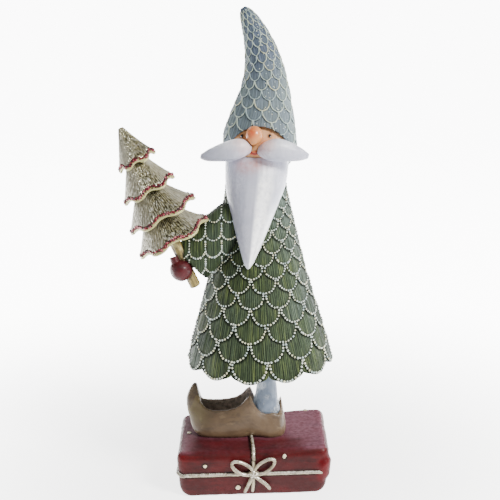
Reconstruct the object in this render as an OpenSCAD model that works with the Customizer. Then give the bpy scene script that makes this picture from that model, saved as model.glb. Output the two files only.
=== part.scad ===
// Tomte gnome figurine: a hand-painted cast-resin gnome standing on one shoe on a
// tied parcel, with a fir tree in one mitten. Millimetres. +Z is up, -Y is the side
// that the face looks to. The origin is on the parcel's resting face, under the shoe.

/* [Parcel] */
// Width of the parcel along X
parcel_w = 97; // [88:1:106]
// Depth of the parcel along Y
parcel_d = 65; // [58:1:72]
// Height of the parcel's top above the table
parcel_h = 30; // [27:1:33]
// Rounding of the parcel's corners and upper edges
corner_r = 5; // [4:0.5:7]
// How much narrower each side of the parcel is at the bottom
taper = 1; // [0:0.2:2]
// Thickness of the parcel's cast walls
wall = 4; // [3.5:0.5:5]
// Turn of the parcel's front and back under the figure, in degrees; its sides stay square to the figure
parcel_turn = 3.7; // [0:0.1:5]
// Radius of the tying cord
cord_r = 1.25; // [1:0.05:1.5]
// Length of each loop of the bow
bow_len = 15; // [12:0.5:17]
// Radius of a painted snow dot
dot_r = 1.7; // [1.2:0.1:2.2]

/* [Shoe and leg] */
// Half-width of the shoe
shoe_half = 12.6; // [11.8:0.1:13.2]
// Thickness of the shoe's wall
shoe_wall = 1.5; // [1.2:0.1:1.8]
// Radius of the stockinged leg under the hem
leg_r = 6.4; // [5.8:0.1:6.8]
// X of the leg's centre
leg_x = 8.7; // [8.2:0.1:9.2]
// Radius of the steel rod inside the leg
rod_r = 2.5; // [2:0.1:3]

/* [Coat] */
// Height of the hem's lowest points
hem_z = 81.5; // [80:0.5:83]
// Radius of the coat at the hem
hem_r = 46; // [44:0.5:48]
// Number of scallops in one row
scallops = 12; // [10:1:14]
// How far each scallop stands out from the one below
relief = 1; // [0.4:0.1:1.2]
// Thickness of the coat's shell
coat_wall = 4; // [3:0.5:5]

/* [Head and hat] */
// Radius of the head
head_r = 20; // [19.5:0.1:20.3]
// Half-width of the nose
nose_r = 5.1; // [4.4:0.1:5.6]
// Radius of the hat's opening over the face
brow_r = 18.5; // [17.5:0.5:19]

/* [Tree] */
// Lean of the tree from upright, in degrees
tree_lean = 24; // [23.5:0.5:24.5]
// Radius of the lowest tier
tree_r = 21; // [20:0.5:21.5]
// Radius of the trunk
trunk_r = 3.3; // [3:0.1:3.6]
// Number of folds around each tier
folds = 6; // [5:1:8]

/* [Hidden] */
$fn = 48;
gap = 0.1;               // glue line between neighbouring pieces
parcel_x = 0;
felt_t = 1;
plate_t = 3;
rod_bottom = 8;
rod_top = 186;
coat_x = 4.3;            // centre of the hem
coat_lean = 1.35;        // lean of the coat towards -X going up, in degrees
floor_z = 87;            // underside of the plate that closes the coat
floor_t = 4;
collar_z = 200;
solid_z = 166;           // the coat is solid above this
neck_r = 8;
socket_z = 192;          // bottom of the neck's socket
head_c = [2.5, -2, 222];
mouth_c = [0.7, -21, 220.6];
nose_c = [0.4, -22.8, 230.2];
mitten_c = [-43.9, -31, 149.6];
far_mitten_c = [8, 40.5, 120];
tree_tip = [-78.5, -28, 235.3];
dowel_r = 1.8;
trunk_end = 106;
waves = 6;               // steps along one scallop

// Coat from the hem up: height and radius
COAT = [[81.5, 1], [96, 0.929], [110, 0.842], [124, 0.755], [140, 0.657],
        [157, 0.572], [173, 0.499], [190, 0.418], [200, 0.393]];
// Spine of the hat from the rim up: x, height and radius
HAT = [[2.4, 200.8, 16.4], [2.6, 207, 17.6], [3.1, 213.5, 20.2], [3.6, 219.5, 22.6],
       [4.2, 227, 22.3], [5.2, 236, 20.2], [6.3, 245, 17.6], [7.0, 254, 15.1],
       [6.9, 263, 13.0], [5.8, 272, 11.1], [3.7, 281, 9.3], [0.7, 289.5, 7.4],
       [-2.5, 296.5, 5.6], [-5.0, 301.2, 3.6], [-6.4, 303.6, 1.8]];
// Beard from the top down: x of its middle, height, half-width and front
BEARD = [[1.8, 218, 17.2, 21], [2.2, 214, 19.3, 23], [1.9, 206, 19.2, 26.4],
         [1.2, 198, 18.3, 28.8], [0.2, 190, 16.0, 30.4], [-0.7, 180, 12.7, 31.8],
         [-1.5, 170, 9.2, 32.5], [-2.3, 160, 5.6, 32.5], [-3.0, 153, 2.9, 32],
         [-3.3, 149.8, 0.8, 31]];
// Wing of the moustache from the nose out: distance, y, height, half-height, half-depth
WING = [[1.8, -22.6, 221.6, 1.8, 1.8], [5, -24.4, 222.2, 4.6, 4.2],
        [10.5, -25.2, 222.2, 6.6, 5.4], [17, -25.0, 221.3, 6.4, 5.2],
        [23, -24.0, 219.9, 5.2, 4.4], [28.4, -22.8, 218.5, 3.5, 3.2],
        [32.4, -21.8, 217.6, 1.4, 1.5]];
// Near sleeve from the shoulder to the cuff: centre, half-height and half-depth
SLEEVE = [[-3, -9, 181, 14.5, 10], [-15, -14.5, 173, 14.4, 10.3],
          [-25, -18, 164.6, 13.8, 10.3], [-33, -20.3, 157, 13.7, 10.5],
          [-38.5, -21.6, 151.8, 14, 10.8]];
// Far sleeve, hanging at the coat's far side
FAR_SLEEVE = [[3, 9, 184, 12, 9], [4.6, 22, 172, 12.2, 9.4], [5.8, 30, 157.5, 11.8, 9.4],
              [6.6, 34.6, 144, 11.8, 9.2], [7, 37.4, 132.5, 12, 9.2]];
// Shoe from the heel to the toe: sole x and z, rim x and z, share of shoe_half
SHOE = [[21.2, 36, 18.3, 54.0, 0.22], [21.4, 33, 17.6, 53.0, 0.5],
        [18.6, 30.4, 15.8, 48.0, 0.8], [12, 30, 10.5, 45.6, 0.93],
        [6, 31.0, 4.6, 46.9, 0.96], [1, 31.4, 0.5, 52.4, 0.97],
        [-3.5, 30.6, -2.4, 59.0, 0.95], [-9, 30, -6.4, 54.4, 0.97],
        [-15, 30, -12.4, 50.8, 1], [-22, 30, -20.5, 49.4, 0.99],
        [-29, 30.2, -27.6, 49.5, 0.93], [-34, 31.8, -31.5, 50.0, 0.82],
        [-38, 35.0, -33.6, 51.2, 0.66], [-41.3, 40.5, -34.8, 53.2, 0.5],
        [-43.4, 47.4, -35.6, 55.8, 0.37], [-43.0, 54.0, -36.4, 58.6, 0.27],
        [-41.0, 59.4, -37.0, 61.2, 0.19], [-38.6, 63.2, -37.3, 63.4, 0.12]];
// Tiers from the tip down: distance along the axis, and share of tree_r
TIERS = [[4, 0], [21.3, 0.51], [39.7, 0.68], [56.8, 0.9], [72.4, 1]];
// Snow dots on the front, side and top faces, in the parcel's own frame
FRONT_DOTS = [[-32.8, 21.5], [17.7, 26], [-11.8, 5.8]];
SIDE_DOTS = [[-18, 22], [9, 7], [21, 24]];
TOP_DOTS = [[-42.2, -0.7], [37.6, 27.6], [-24, 24]];

// ---- Curves and lofts ----

// Smooth curve through a list of stations, u from 0 to 1
function between(a, b, c, d, t) =
    (2 * b + (c - a) * t + (2 * a - 5 * b + 4 * c - d) * t * t
     + (3 * b - a - 3 * c + d) * t * t * t) / 2;
function along(list, u) =
    let (n = len(list) - 1, i = max(0, min(floor(u * n), n - 1)))
    between(list[max(i - 1, 0)], list[i], list[i + 1], list[min(i + 2, n)], u * n - i);
function unit(v) = v / norm(v);
function centre(r, i = 0, s = [0, 0, 0]) =
    i == len(r) ? s / len(r) : centre(r, i + 1, s + r[i]);
function flip(r) = [for (i = [len(r) - 1 : -1 : 0]) r[i]];

// Solid through rings of equal point count, closed on itself or by two end caps
module loft(rings, closed = false) {
    m = len(rings);
    n = len(rings[0]);
    last = closed ? m - 1 : m - 2;
    sides = [for (i = [0 : last], j = [0 : n - 1])
             let (k = (j + 1) % n, p = i * n, q = ((i + 1) % m) * n)
             each [[p + j, p + k, q + k], [p + j, q + k, q + j]]];
    caps = closed ? [] : [for (j = [0 : n - 1]) let (k = (j + 1) % n)
             each [[m * n, k, j], [m * n + 1, (m - 1) * n + j, (m - 1) * n + k]]];
    ends = closed ? [] : [centre(rings[0]), centre(rings[m - 1])];
    polyhedron(concat([for (r = rings) each r], ends), concat(sides, caps));
}

// Round tube along a list of points
module tube(path, r, sides = 10, closed = false) {
    n = len(path);
    loft([for (i = [0 : n - 1])
          let (a = closed ? path[(i + n - 1) % n] : path[max(i - 1, 0)],
               b = closed ? path[(i + 1) % n] : path[min(i + 1, n - 1)],
               t = unit(b - a), u = unit(cross(t, [0.02, 0.013, 1])), v = cross(t, u))
          [for (j = [0 : sides - 1]) let (q = -360 * j / sides)
           path[i] + r * (cos(q) * u + sin(q) * v)]], closed);
}

// Bell or arm: elliptical rings square to the line through the stations
function arm_rings(list, steps, grow = 0, sides = 28) =
    [for (i = [0 : steps]) let (u = i / steps, s = along(list, u),
          a = along(list, max(u - 0.02, 0)), b = along(list, min(u + 0.02, 1)),
          t = unit([b[0] - a[0], b[1] - a[1], b[2] - a[2]]),
          h = unit(cross(t, [t[1], -t[0], 0])), v = cross(t, h))
     [for (j = [0 : sides - 1]) let (q = -360 * j / sides)
      [s[0], s[1], s[2]] + (s[3] + grow) * cos(q) * h + (s[4] + grow) * sin(q) * v]];

// One mesh from its children, for sculpted surfaces
module sculpted() {
    resize([0, 0, 0]) children();
}

module rod_bore(r = rod_r + gap) {
    translate([leg_x, 0, rod_bottom]) cylinder(r = r, h = rod_top - rod_bottom);
}

// ---- Parcel ----

module parcel_place() {
    translate([parcel_x, 0, 0]) rotate([0, 0, parcel_turn]) children();
}

// Sideways shift that keeps the parcel's sides square to the figure
function skew(y) = y * tan(parcel_turn);

inner_x = parcel_w / 2 - wall - taper - 4;
inner_y = parcel_d / 2 - wall - taper - 2.5;
// The felt stands this far out under the parcel's rim
rise = 0.3;

// Outer block, grown by g for the pieces that rest on it
module parcel_block(g = 0) {
    x = parcel_w / 2 - corner_r;
    y = parcel_d / 2 - corner_r;
    hull() {
        for (i = [-1, 1], j = [-1, 1]) {
            translate([i * x + skew(j * y), j * y, parcel_h - corner_r]) sphere(r = corner_r + g, $fn = 32);
            for (f = [[0, 4], [1.5, 1.8], [5, 0.3]])
                translate([i * (x - taper - f[1]) + skew(j * y), j * (y - taper), rise + f[0] - g])
                    cylinder(r = corner_r + g, h = 0.5, $fn = 32);
        }
    }
}

module parcel_shell() {
    color("#6e2622") difference() {
        parcel_place() parcel_block();
        difference() {
            parcel_place() translate([-inner_x, -inner_y, 0]) cube([2 * inner_x, 2 * inner_y, parcel_h - wall]);
            translate([leg_x, 0, felt_t + plate_t]) cylinder(r = 7, h = parcel_h);
        }
        rod_bore();
    }
}

module base_plate() {
    w = 2 * inner_x - 0.4;
    d = 2 * inner_y - 0.4;
    color("#c9b48a") parcel_place() difference() {
        translate([-w / 2, -d / 2, felt_t]) cube([w, d, plate_t - gap]);
        for (x = [-1, 1])
            translate([x * w * 0.36, 0, 0]) cylinder(r = 3, h = 10);
    }
}

module felt_sheet() {
    color("#3c3b38") parcel_place() linear_extrude(felt_t)
        hull() for (x = [-1, 1], y = [-1, 1])
            translate([x * (inner_x - 3.2), y * (inner_y - 3.2)]) circle(r = 3);
}

// ---- Cord and bow ----

cross_x = -2;
band_z = 15;
knot_c = [cross_x, -parcel_d / 2 - 1.4, band_z + 0.8];

// Cord around the parcel's four sides
function band_path() = let (r = corner_r, s = 0.2)
    [for (c = [[1, -1, -90], [1, 1, 0], [-1, 1, 90], [-1, -1, 180]], i = [0 : 5])
     let (q = c[2] + 18 * i)
     [c[0] * (parcel_w / 2 - taper / 2 - r) + (r + s) * cos(q) + skew(c[1] * (parcel_d / 2 - r)),
      c[1] * (parcel_d / 2 - taper / 2 - r) + (r + s) * sin(q), band_z + 0.4 * sin(4 * q)]];

// Cord up the front, over the top and down the back
function cross_path() = let (y = parcel_d / 2 - corner_r, z = parcel_h - corner_r, s = corner_r + 0.9)
    concat([[cross_x - 0.4, -y - s + taper + 1.3, felt_t + 1.4], [cross_x - 0.3, -y - s + taper, felt_t + 5]],
           [for (i = [0 : 5]) [cross_x, -y - s * cos(18 * i), z + s * sin(18 * i)]],
           [for (i = [5 : -1 : 0]) [cross_x, y + s * cos(18 * i), z + s * sin(18 * i)]],
           [[cross_x - 0.3, y + s - taper, felt_t + 5], [cross_x - 0.4, y + s - taper - 1.3, felt_t + 1.4]]);

module knot_ball(g = 0) {
    translate(knot_c) scale([3.3 + g, 2.5 + g, 3.1 + g]) sphere(r = 1, $fn = 16);
}

module cord_band() {
    color("#d9cfb8") parcel_place() sculpted() difference() {
        tube(band_path(), cord_r, closed = true);
        parcel_block(gap);
        tube(cross_path(), cord_r + gap);
        knot_ball(gap);
    }
}

module cord_cross() {
    color("#d9cfb8") parcel_place() sculpted() difference() {
        tube(cross_path(), cord_r);
        parcel_block(gap);
        knot_ball(gap);
    }
}

module bow_knot() {
    color("#d9cfb8") parcel_place() sculpted() difference() {
        knot_ball();
        parcel_block(gap);
    }
}

// One loop of the bow, s = -1 to the left and 1 to the right, rising from the knot
function loop_path(s) =
    [for (i = [1 : 15])
     let (q = i * 360 / 16, r = sin(q / 2), rise = s < 0 ? 31 : 37,
          l = 1 + bow_len * r * r, h = 3.5 * sin(q))
     knot_c + [s * (l * cos(rise) - h * sin(rise)), -0.3 - 0.9 * r, l * sin(rise) + h * cos(rise)]];

module bow_loops() {
    color("#d9cfb8") parcel_place() sculpted() difference() {
        for (s = [-1, 1]) tube(loop_path(s), cord_r - 0.1);
        knot_ball(gap);
        parcel_block(gap);
        tube(band_path(), cord_r + gap, closed = true);
        tube(cross_path(), cord_r + gap);
    }
}

module bow_tails() {
    color("#d9cfb8") parcel_place() sculpted() difference() {
        union() {
            tube([knot_c + [-0.6, -0.2, -1.5], knot_c + [-2.4, -1, -4.6], knot_c + [-4.3, -0.8, -8.8], knot_c + [-5.8, -0.3, -12.4]], cord_r - 0.1);
            tube([knot_c + [0.6, -0.2, -1.5], knot_c + [4.6, -1, -4.4], knot_c + [8.2, -0.8, -7.6], knot_c + [10.5, -0.3, -10.7]], cord_r - 0.1);
        }
        knot_ball(gap);
        parcel_block(gap);
        tube(cross_path(), cord_r + gap);
    }
}

// ---- Snow dots painted thickly on the parcel ----

module snow_dots() {
    flat = [1, 1, 0.55];
    color("#e9e1cd") parcel_place() sculpted() difference() {
        union() {
            for (d = FRONT_DOTS) translate([d[0], -parcel_d / 2 + 0.4, d[1]]) rotate([90, 0, 0]) scale(flat) snow_ball();
            for (d = FRONT_DOTS) translate([-d[0], parcel_d / 2 - 0.4, d[1]]) rotate([90, 0, 0]) scale(flat) snow_ball();
            for (d = SIDE_DOTS) translate([-parcel_w / 2 + 0.4 + skew(d[0]), d[0], d[1]]) rotate([0, 90, 0]) scale(flat) snow_ball();
            for (d = SIDE_DOTS) translate([parcel_w / 2 - 0.4 - skew(d[0]), -d[0], d[1]]) rotate([0, 90, 0]) scale(flat) snow_ball();
            for (d = TOP_DOTS) translate([d[0], d[1], parcel_h]) scale(flat) snow_ball();
        }
        parcel_block(gap);
    }
}

module snow_ball() {
    sphere(r = dot_r, $fn = 10);
}

// ---- Shoe, stockinged leg and rod ----

// Cross-section of the shoe at one station: a deep boxy U from rim to sole to rim.
// t is the wall to take off for the inside, and up lifts the open side.
function shoe_ring(s, t = 0, up = 0) =
    let (w = shoe_half * s[4], h = norm([s[2] - s[0], s[3] - s[1]]),
         d = [s[2] - s[0], s[3] - s[1]] / h)
    [for (i = up > 0 ? [-1 : 17] : [0 : 16])
     let (f = pow(min(abs(i - 8) / 8, 1), 1.9), y = sign(8 - i) * pow(1 - pow(1 - f, 5.5), 0.19),
          e = t + (h - t) * f + (abs(i - 8) > 8 ? up : 0), n = 1 - 0.3 * pow(f, 2.2))
     [s[0] + d[0] * e, y * (w * n - t), s[1] + d[1] * e]];

module shoe_body() {
    loft(flip([for (i = [0 : 26]) shoe_ring(along(SHOE, i / 26))]));
}

module shoe_cavity() {
    loft(flip([for (i = [0 : 18]) let (s = along(SHOE, 0.095 + 0.7 * i / 18), in = i == 0 ? 0.8 : 0)
               shoe_ring(s, shoe_wall + in, 9)]));
}

module shoe() {
    color("#6f5f4c") difference() {
        sculpted() difference() {
            shoe_body();
            shoe_cavity();
            parcel_place() tube(cross_path(), cord_r + gap);
        }
        rod_bore();
    }
}

// Leg from the sole up: height, x of its middle, half-width along X and along Y
LEG = [[33.6, 8.6, 6.4, 5.2], [38, 8.5, 8.0, 6.2], [43, 8.1, 8.5, 6.7], [48, 8.0, 8.4, 6.7],
       [53, 8.2, 7.8, 6.6], [59, 8.7, 6.9, 6.4], [66, 8.7, leg_r, leg_r], [86.9, 8.7, leg_r, leg_r]];

module stocking_leg() {
    n = 32;
    color("#dcdcd8") difference() {
        loft([for (i = [0 : 16]) let (p = along(LEG, i / 16))
              [for (j = [0 : n - 1]) let (q = -360 * j / n)
               [p[1] + leg_x - 8.7 + p[2] * cos(q), p[3] * sin(q), p[0]]]]);
        rod_bore();
    }
}

module armature_rod() {
    color("#8d8f92") rod_bore(rod_r);
}

// ---- Coat ----

function coat_r(z) = lookup(z, COAT) * hem_r;

// Lower edge of row k at angle q: arcs with their lowest points in the middle
row_z = [for (k = 0, z = hem_z; z < collar_z - 2; z = z + 0.262 * coat_r(z), k = k + 1) z];
rows = len(row_z);
function row_end(k) = k + 1 < rows ? row_z[k + 1] : collar_z;
function scallop(t) = 1 - sqrt(1 - t * t * 0.97);
function edge_z(k, j) =
    let (t = ((j + ((k + 1) % 2) * waves / 2) % waves) * 2 / waves - 1)
    row_z[k] + (k == 0 ? hem_notch() : 0.9 * (row_end(k) - row_z[k])) * scallop(t);
function hem_notch() = 0.42 * (row_z[1] - row_z[0]);
function on_coat(j, z, out) =
    let (q = 360 * j / (waves * scallops) - 8.5 - 90)
    [(coat_r(z) + out) * cos(q), (coat_r(z) + out) * sin(q), z];

module coat_place() {
    translate([coat_x, 0, hem_z]) rotate([0, -coat_lean, 0]) translate([0, 0, -hem_z]) children();
}

// Scalloped skin: each row starts flush under the row above and ends standing proud
module coat_skin() {
    n = waves * scallops;
    top = [for (j = [0 : n - 1]) on_coat(j, collar_z, 0)];
    skin = [for (k = [rows - 1 : -1 : 0]) each concat(
        k == rows - 1 ? [] : [[for (j = [0 : n - 1]) let (z = edge_z(k + 1, j)) on_coat(j, z - 0.25, 0)]],
        [[for (j = [0 : n - 1]) on_coat(j, edge_z(k, j), relief)]])];
    loft(concat([top], skin));
}

module coat_smooth(g = 0) {
    coat_place() rotate_extrude($fn = 64)
        polygon(concat([[0, hem_z]], [for (s = COAT) [s[1] * hem_r + relief + g, s[0]]], [[0, collar_z + g]]));
}

module coat_shell() {
    color("#76825a") difference() {
        coat_place() difference() {
            coat_skin();
            rotate_extrude() polygon(concat([[0, hem_z - 5], [hem_r + 4, hem_z - 5]],
                [for (z = [hem_z + 8 : 17 : solid_z]) [coat_r(z) - coat_wall, z]], [[0, solid_z]]));
            translate([0, 0, socket_z]) cylinder(r = neck_r + gap, h = 20);
        }
        rod_bore();
    }
}

module coat_floor() {
    r = coat_r(floor_z + floor_t) - coat_wall - 0.6;
    color("#5e6746") difference() {
        coat_place() translate([0, 0, floor_z]) cylinder(r = r, h = floor_t);
        rod_bore();
    }
}

// ---- Sleeves and mittens ----

module near_sleeve() {
    color("#5f6b49") sculpted() difference() {
        loft(arm_rings(SLEEVE, 14));
        loft(arm_rings([SLEEVE[2] - [0, 0, 0, 4, 4], SLEEVE[3] - [0, 0, 0, 2.4, 2.4],
                        SLEEVE[4] - [0, 0, 0, 1.8, 1.8], SLEEVE[4] + [-4, -1.2, -4.4, -1.2, -1.2]], 8));
        coat_smooth(gap);
        trunk_space();
    }
}

module far_sleeve() {
    color("#5f6b49") sculpted() difference() {
        loft(arm_rings(FAR_SLEEVE, 14));
        loft(arm_rings([FAR_SLEEVE[3] - [0, 0, 0, 4, 3], FAR_SLEEVE[4] - [0, 0, 0, 2, 2],
                        FAR_SLEEVE[4] + [0.4, 2, -5, -1, -1]], 6));
        coat_smooth(gap);
    }
}

module near_mitten() {
    wrist = mitten_c + [6.5, 6.5, 4];
    color("#7c2a2a") sculpted() difference() {
        union() {
            translate(mitten_c) rotate([0, 40, 0]) scale([7, 6.8, 6.6]) sphere(r = 1, $fn = 24);
            hull() {
                translate(mitten_c + [-1, 0, 1]) sphere(r = 4.6, $fn = 20);
                translate(wrist) sphere(r = 4, $fn = 20);
            }
            tube([mitten_c + [-1.5, -0.5, 2], mitten_c + [-3.4, -0.6, 5.6], mitten_c + [-4.3, -0.2, 8.4]], 2.8);
        }
        trunk_space();
        tier_space();
        coat_smooth(gap);
    }
}

module far_mitten() {
    color("#7c2a2a") sculpted() difference() {
        union() {
            translate(far_mitten_c) scale([6.6, 5.6, 7.2]) sphere(r = 1, $fn = 28);
            hull() {
                translate(far_mitten_c) sphere(r = 4.5, $fn = 20);
                translate(far_mitten_c + [-0.6, -2.4, 11]) sphere(r = 4.5, $fn = 20);
            }
            tube([far_mitten_c + [-3, 0, -1], far_mitten_c + [-6.4, -0.6, 1.5], far_mitten_c + [-7.6, -1, 4.6]], 2.6, 14);
        }
        coat_smooth(gap);
        loft(arm_rings([FAR_SLEEVE[2], FAR_SLEEVE[3] - [0, 0, 0, 3.9, 2.9]], 2));
    }
}

// ---- Head, face and beard ----

// Y of the head's front at a point given as x and z.
function face_y(p) = head_c[1] - sqrt(pow(head_r, 2) - pow(p[0] - head_c[0], 2) - pow(p[1] - head_c[2], 2));

module head_ball(g = 0) {
    translate(head_c) sphere(r = head_r + g, $fn = 44);
}

module head() {
    color("#d9a184") difference() {
        union() {
            translate(head_c) sphere(r = head_r);
            translate([head_c[0] - 1, 0, 0]) coat_neck();
        }
        translate([nose_c[0], nose_c[1], nose_c[2]]) rotate([-90, 0, 0]) cylinder(r = 1.7, h = 11);
    }
}

// Spigot that stands in the coat's socket
module coat_neck() {
    translate([-head_c[0] + 1, 0, 0]) coat_place() translate([0, 0, socket_z + 0.3]) cylinder(r = neck_r, h = 18);
}

module nose() {
    color("#d58f74") difference() {
        union() {
            sculpted() difference() {
                translate(nose_c) scale([nose_r, 5.6, 5.8]) sphere(r = 1, $fn = 28);
                head_ball(gap);
            }
            translate(nose_c) rotate([-90, 0, 0]) cylinder(r = 1.6, h = 9.6);
        }
    }
}

module mouth() {
    color("#a4484a") sculpted() difference() {
        translate(mouth_c) scale([3.4, 2.4, 1.6]) sphere(r = 1, $fn = 24);
        head_ball(gap);
    }
}

module eyes() {
    color("#1d1814") sculpted() difference() {
        for (p = [[-6.7, 228.9], [9.5, 229.1]])
            translate([p[0], face_y(p) + 0.9, p[1]]) scale([1.5, 1.6, 1.7]) sphere(r = 1, $fn = 20);
        head_ball(gap);
    }
}

module wing(s, g = 0) {
    n = 24;
    loft([for (i = [0 : 14]) let (p = along(WING, i / 14), x = 0.6 + s * p[0])
          [for (j = [0 : n - 1]) let (q = -s * 360 * j / n)
           [x + s * 0.25 * (p[3] + g) * sin(q) * s, p[1] - (p[4] + g) * cos(q), p[2] + (p[3] + g) * sin(q)]]]);
}

module whiskers(s) {
    color("#e8e6e2") sculpted() difference() {
        wing(s);
        head_ball(gap);
        hat_body(gap);
        translate(nose_c) scale([nose_r + gap, 5.7, 5.9]) sphere(r = 1, $fn = 28);
        translate(mouth_c) scale([3.5, 2.5, 1.7]) sphere(r = 1, $fn = 24);
    }
}

module moustache_left() {
    whiskers(-1);
}

module moustache_right() {
    whiskers(1);
}

module beard_body(g = 0) {
    n = 18;
    loft([for (i = [0 : 18]) let (p = along(BEARD, i / 18), w = p[2] + g, d = 0.8 * w + 1)
          concat([for (j = [0 : n]) let (q = -180 * j / n) [p[0] + w * cos(q), -p[3] - g + d + d * sin(q), p[1] + (i == 0 ? g : i == 18 ? -g : 0)]],
                 [[p[0] - w * 0.97, -6.2 + g, p[1]], [p[0] + w * 0.97, -6.2 + g, p[1]]])]);
}

module beard() {
    color("#e8e6e2") sculpted() difference() {
        beard_body();
        coat_smooth(gap);
        head_ball(gap);
        wing(-1, gap);
        wing(1, gap);
        translate(mouth_c) scale([3.5, 2.5, 1.7]) sphere(r = 1, $fn = 24);
        hat_body(gap);
    }
}

// ---- Hat ----

module hat_body(g = 0) {
    n = 36;
    difference() {
        loft([for (i = [0 : 20]) let (u = i / 20, p = along(HAT, u),
                   a = along(HAT, max(u - 0.02, 0)), b = along(HAT, min(u + 0.02, 1)),
                   t = unit([b[0] - a[0], 0, b[1] - a[1]]))
              [for (j = [0 : n - 1]) let (q = -360 * j / n, r = p[2] + g)
               [p[0] + r * cos(q) * (i == 0 ? 1 : t[2]), r * sin(q), p[1] - r * cos(q) * (i == 0 ? 0 : t[0]) - (i == 0 ? g : 0)]]]);
        hull() {
            translate([3.6, -6 - g, 216.5]) rotate([90, 0, 0]) cylinder(r = brow_r - g, h = 40);
            translate([3.6, -26 - g, 190]) cube([2 * (brow_r - g), 40, 10], center = true);
        }
    }
}

module hat() {
    color("#7c8aa0") sculpted() difference() {
        hat_body();
        head_ball(gap);
        translate(nose_c) scale([nose_r + gap, 5.7, 5.9]) sphere(r = 1, $fn = 28);
        coat_smooth(gap);
        coat_place() cylinder(r = neck_r + gap, h = 212);
    }
}

// ---- Tree, drawn along its own axis with the tip at the top ----

module tree_place() {
    translate(tree_tip) rotate([0, -tree_lean, 0]) children();
}

// Pleated skirt from one station to the next, hollow under its rim
module tier(k) {
    n = folds * 10;
    r1 = TIERS[k][1] * tree_r;
    r0 = k == 1 ? 1.6 : 0.42 * TIERS[k - 1][1] * tree_r;
    s0 = k == 1 ? 0 : TIERS[k - 1][0] - 3;
    s1 = TIERS[k][0];
    h = s1 - s0;
    rings = [for (f = [[0.02, 0, 0], [0.3, 0.3, 0.3], [0.62, 0.64, 0.7], [0.86, 0.9, 1], [1, 1, 1]])
             [for (j = [0 : n - 1]) let (q = -360 * j / n, c = cos(folds * q))
              [(r0 + (r1 - r0) * f[1]) * (1 + 0.1 * c * f[2]) * cos(q),
               (r0 + (r1 - r0) * f[1]) * (1 + 0.1 * c * f[2]) * sin(q), -s0 - h * f[0] - 1.3 * c * f[2]]]];
    under = [for (f = [[0.88, 0.6], [0.62, -3.4]])
             [for (j = [0 : n - 1]) let (q = -360 * j / n, c = cos(folds * q))
              [r1 * f[0] * (1 + 0.1 * c * f[0]) * cos(q), r1 * f[0] * (1 + 0.1 * c * f[0]) * sin(q), -s1 - f[1] - 1.3 * c * f[0]]]];
    loft(concat(rings, under));
}

module tree_tier(k) {
    color("#b9ab86") tree_place() difference() {
        tier(k);
        translate([0, 0, -trunk_end]) cylinder(r = dowel_r + gap, h = trunk_end - 12);
    }
}

module tree_tier_1() { tree_tier(1); }
module tree_tier_2() { tree_tier(2); }
module tree_tier_3() { tree_tier(3); }
module tree_tier_4() { tree_tier(4); }

module tree_trunk() {
    s = TIERS[4][0] - 2.7;
    color("#a89768") tree_place() {
        translate([0, 0, -trunk_end]) cylinder(r = trunk_r, h = trunk_end - s - gap);
        translate([0, 0, -s - 1]) cylinder(r = dowel_r, h = s - 13);
    }
}

module trunk_space() {
    tree_place() translate([0, 0, -trunk_end - 5]) cylinder(r = trunk_r + gap, h = trunk_end, $fn = 40);
}

module tier_space() {
    tree_place() translate([0, 0, -TIERS[4][0] - 2.5]) cylinder(r = tree_r, h = 30);
}

parcel_shell();
base_plate();
felt_sheet();
cord_band();
cord_cross();
bow_knot();
bow_loops();
bow_tails();
snow_dots();
shoe();
stocking_leg();
armature_rod();
coat_shell();
coat_floor();
near_sleeve();
near_mitten();
far_sleeve();
far_mitten();
head();
nose();
mouth();
eyes();
moustache_left();
moustache_right();
beard();
hat();
tree_tier_1();
tree_tier_2();
tree_tier_3();
tree_tier_4();
tree_trunk();
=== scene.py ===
import math

import bmesh
import bpy
import numpy as np
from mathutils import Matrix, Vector
from mathutils.bvhtree import BVHTree


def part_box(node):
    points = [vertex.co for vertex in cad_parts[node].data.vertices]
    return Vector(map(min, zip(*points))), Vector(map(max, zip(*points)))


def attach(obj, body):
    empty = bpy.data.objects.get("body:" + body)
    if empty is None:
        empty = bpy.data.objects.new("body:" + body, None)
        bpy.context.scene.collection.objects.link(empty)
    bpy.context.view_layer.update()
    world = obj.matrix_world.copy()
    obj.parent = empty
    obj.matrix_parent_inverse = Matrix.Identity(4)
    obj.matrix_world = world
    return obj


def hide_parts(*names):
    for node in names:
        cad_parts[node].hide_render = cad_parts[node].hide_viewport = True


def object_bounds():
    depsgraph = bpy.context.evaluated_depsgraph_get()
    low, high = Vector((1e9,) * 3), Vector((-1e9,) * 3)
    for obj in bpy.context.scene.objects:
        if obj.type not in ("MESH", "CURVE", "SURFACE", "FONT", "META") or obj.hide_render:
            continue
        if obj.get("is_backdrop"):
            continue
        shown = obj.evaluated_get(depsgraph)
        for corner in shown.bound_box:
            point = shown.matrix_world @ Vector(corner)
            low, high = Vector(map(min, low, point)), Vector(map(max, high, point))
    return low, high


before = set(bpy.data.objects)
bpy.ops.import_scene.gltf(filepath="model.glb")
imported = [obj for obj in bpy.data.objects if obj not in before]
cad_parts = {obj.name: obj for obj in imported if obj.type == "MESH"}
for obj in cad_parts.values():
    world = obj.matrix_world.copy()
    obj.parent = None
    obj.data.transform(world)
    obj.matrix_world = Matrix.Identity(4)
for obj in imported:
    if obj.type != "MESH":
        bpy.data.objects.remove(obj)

cad_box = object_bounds()
MM = 0.001
FULL = 2 * math.pi
SEED = np.random.default_rng(2612)


# ---------------- numbers and colours

def rgb(code, gain=1.0):
    """Linear colour from a web colour, with the middle tones a little deeper."""
    parts = [int(code[i:i + 2], 16) / 255 for i in (1, 3, 5)]
    lin = [p / 12.92 if p <= 0.04045 else ((p + 0.055) / 1.055) ** 2.4 for p in parts]
    return tuple(min(1.0, v * (0.5 + 0.5 * v) * gain) for v in lin) + (1.0,)


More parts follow.
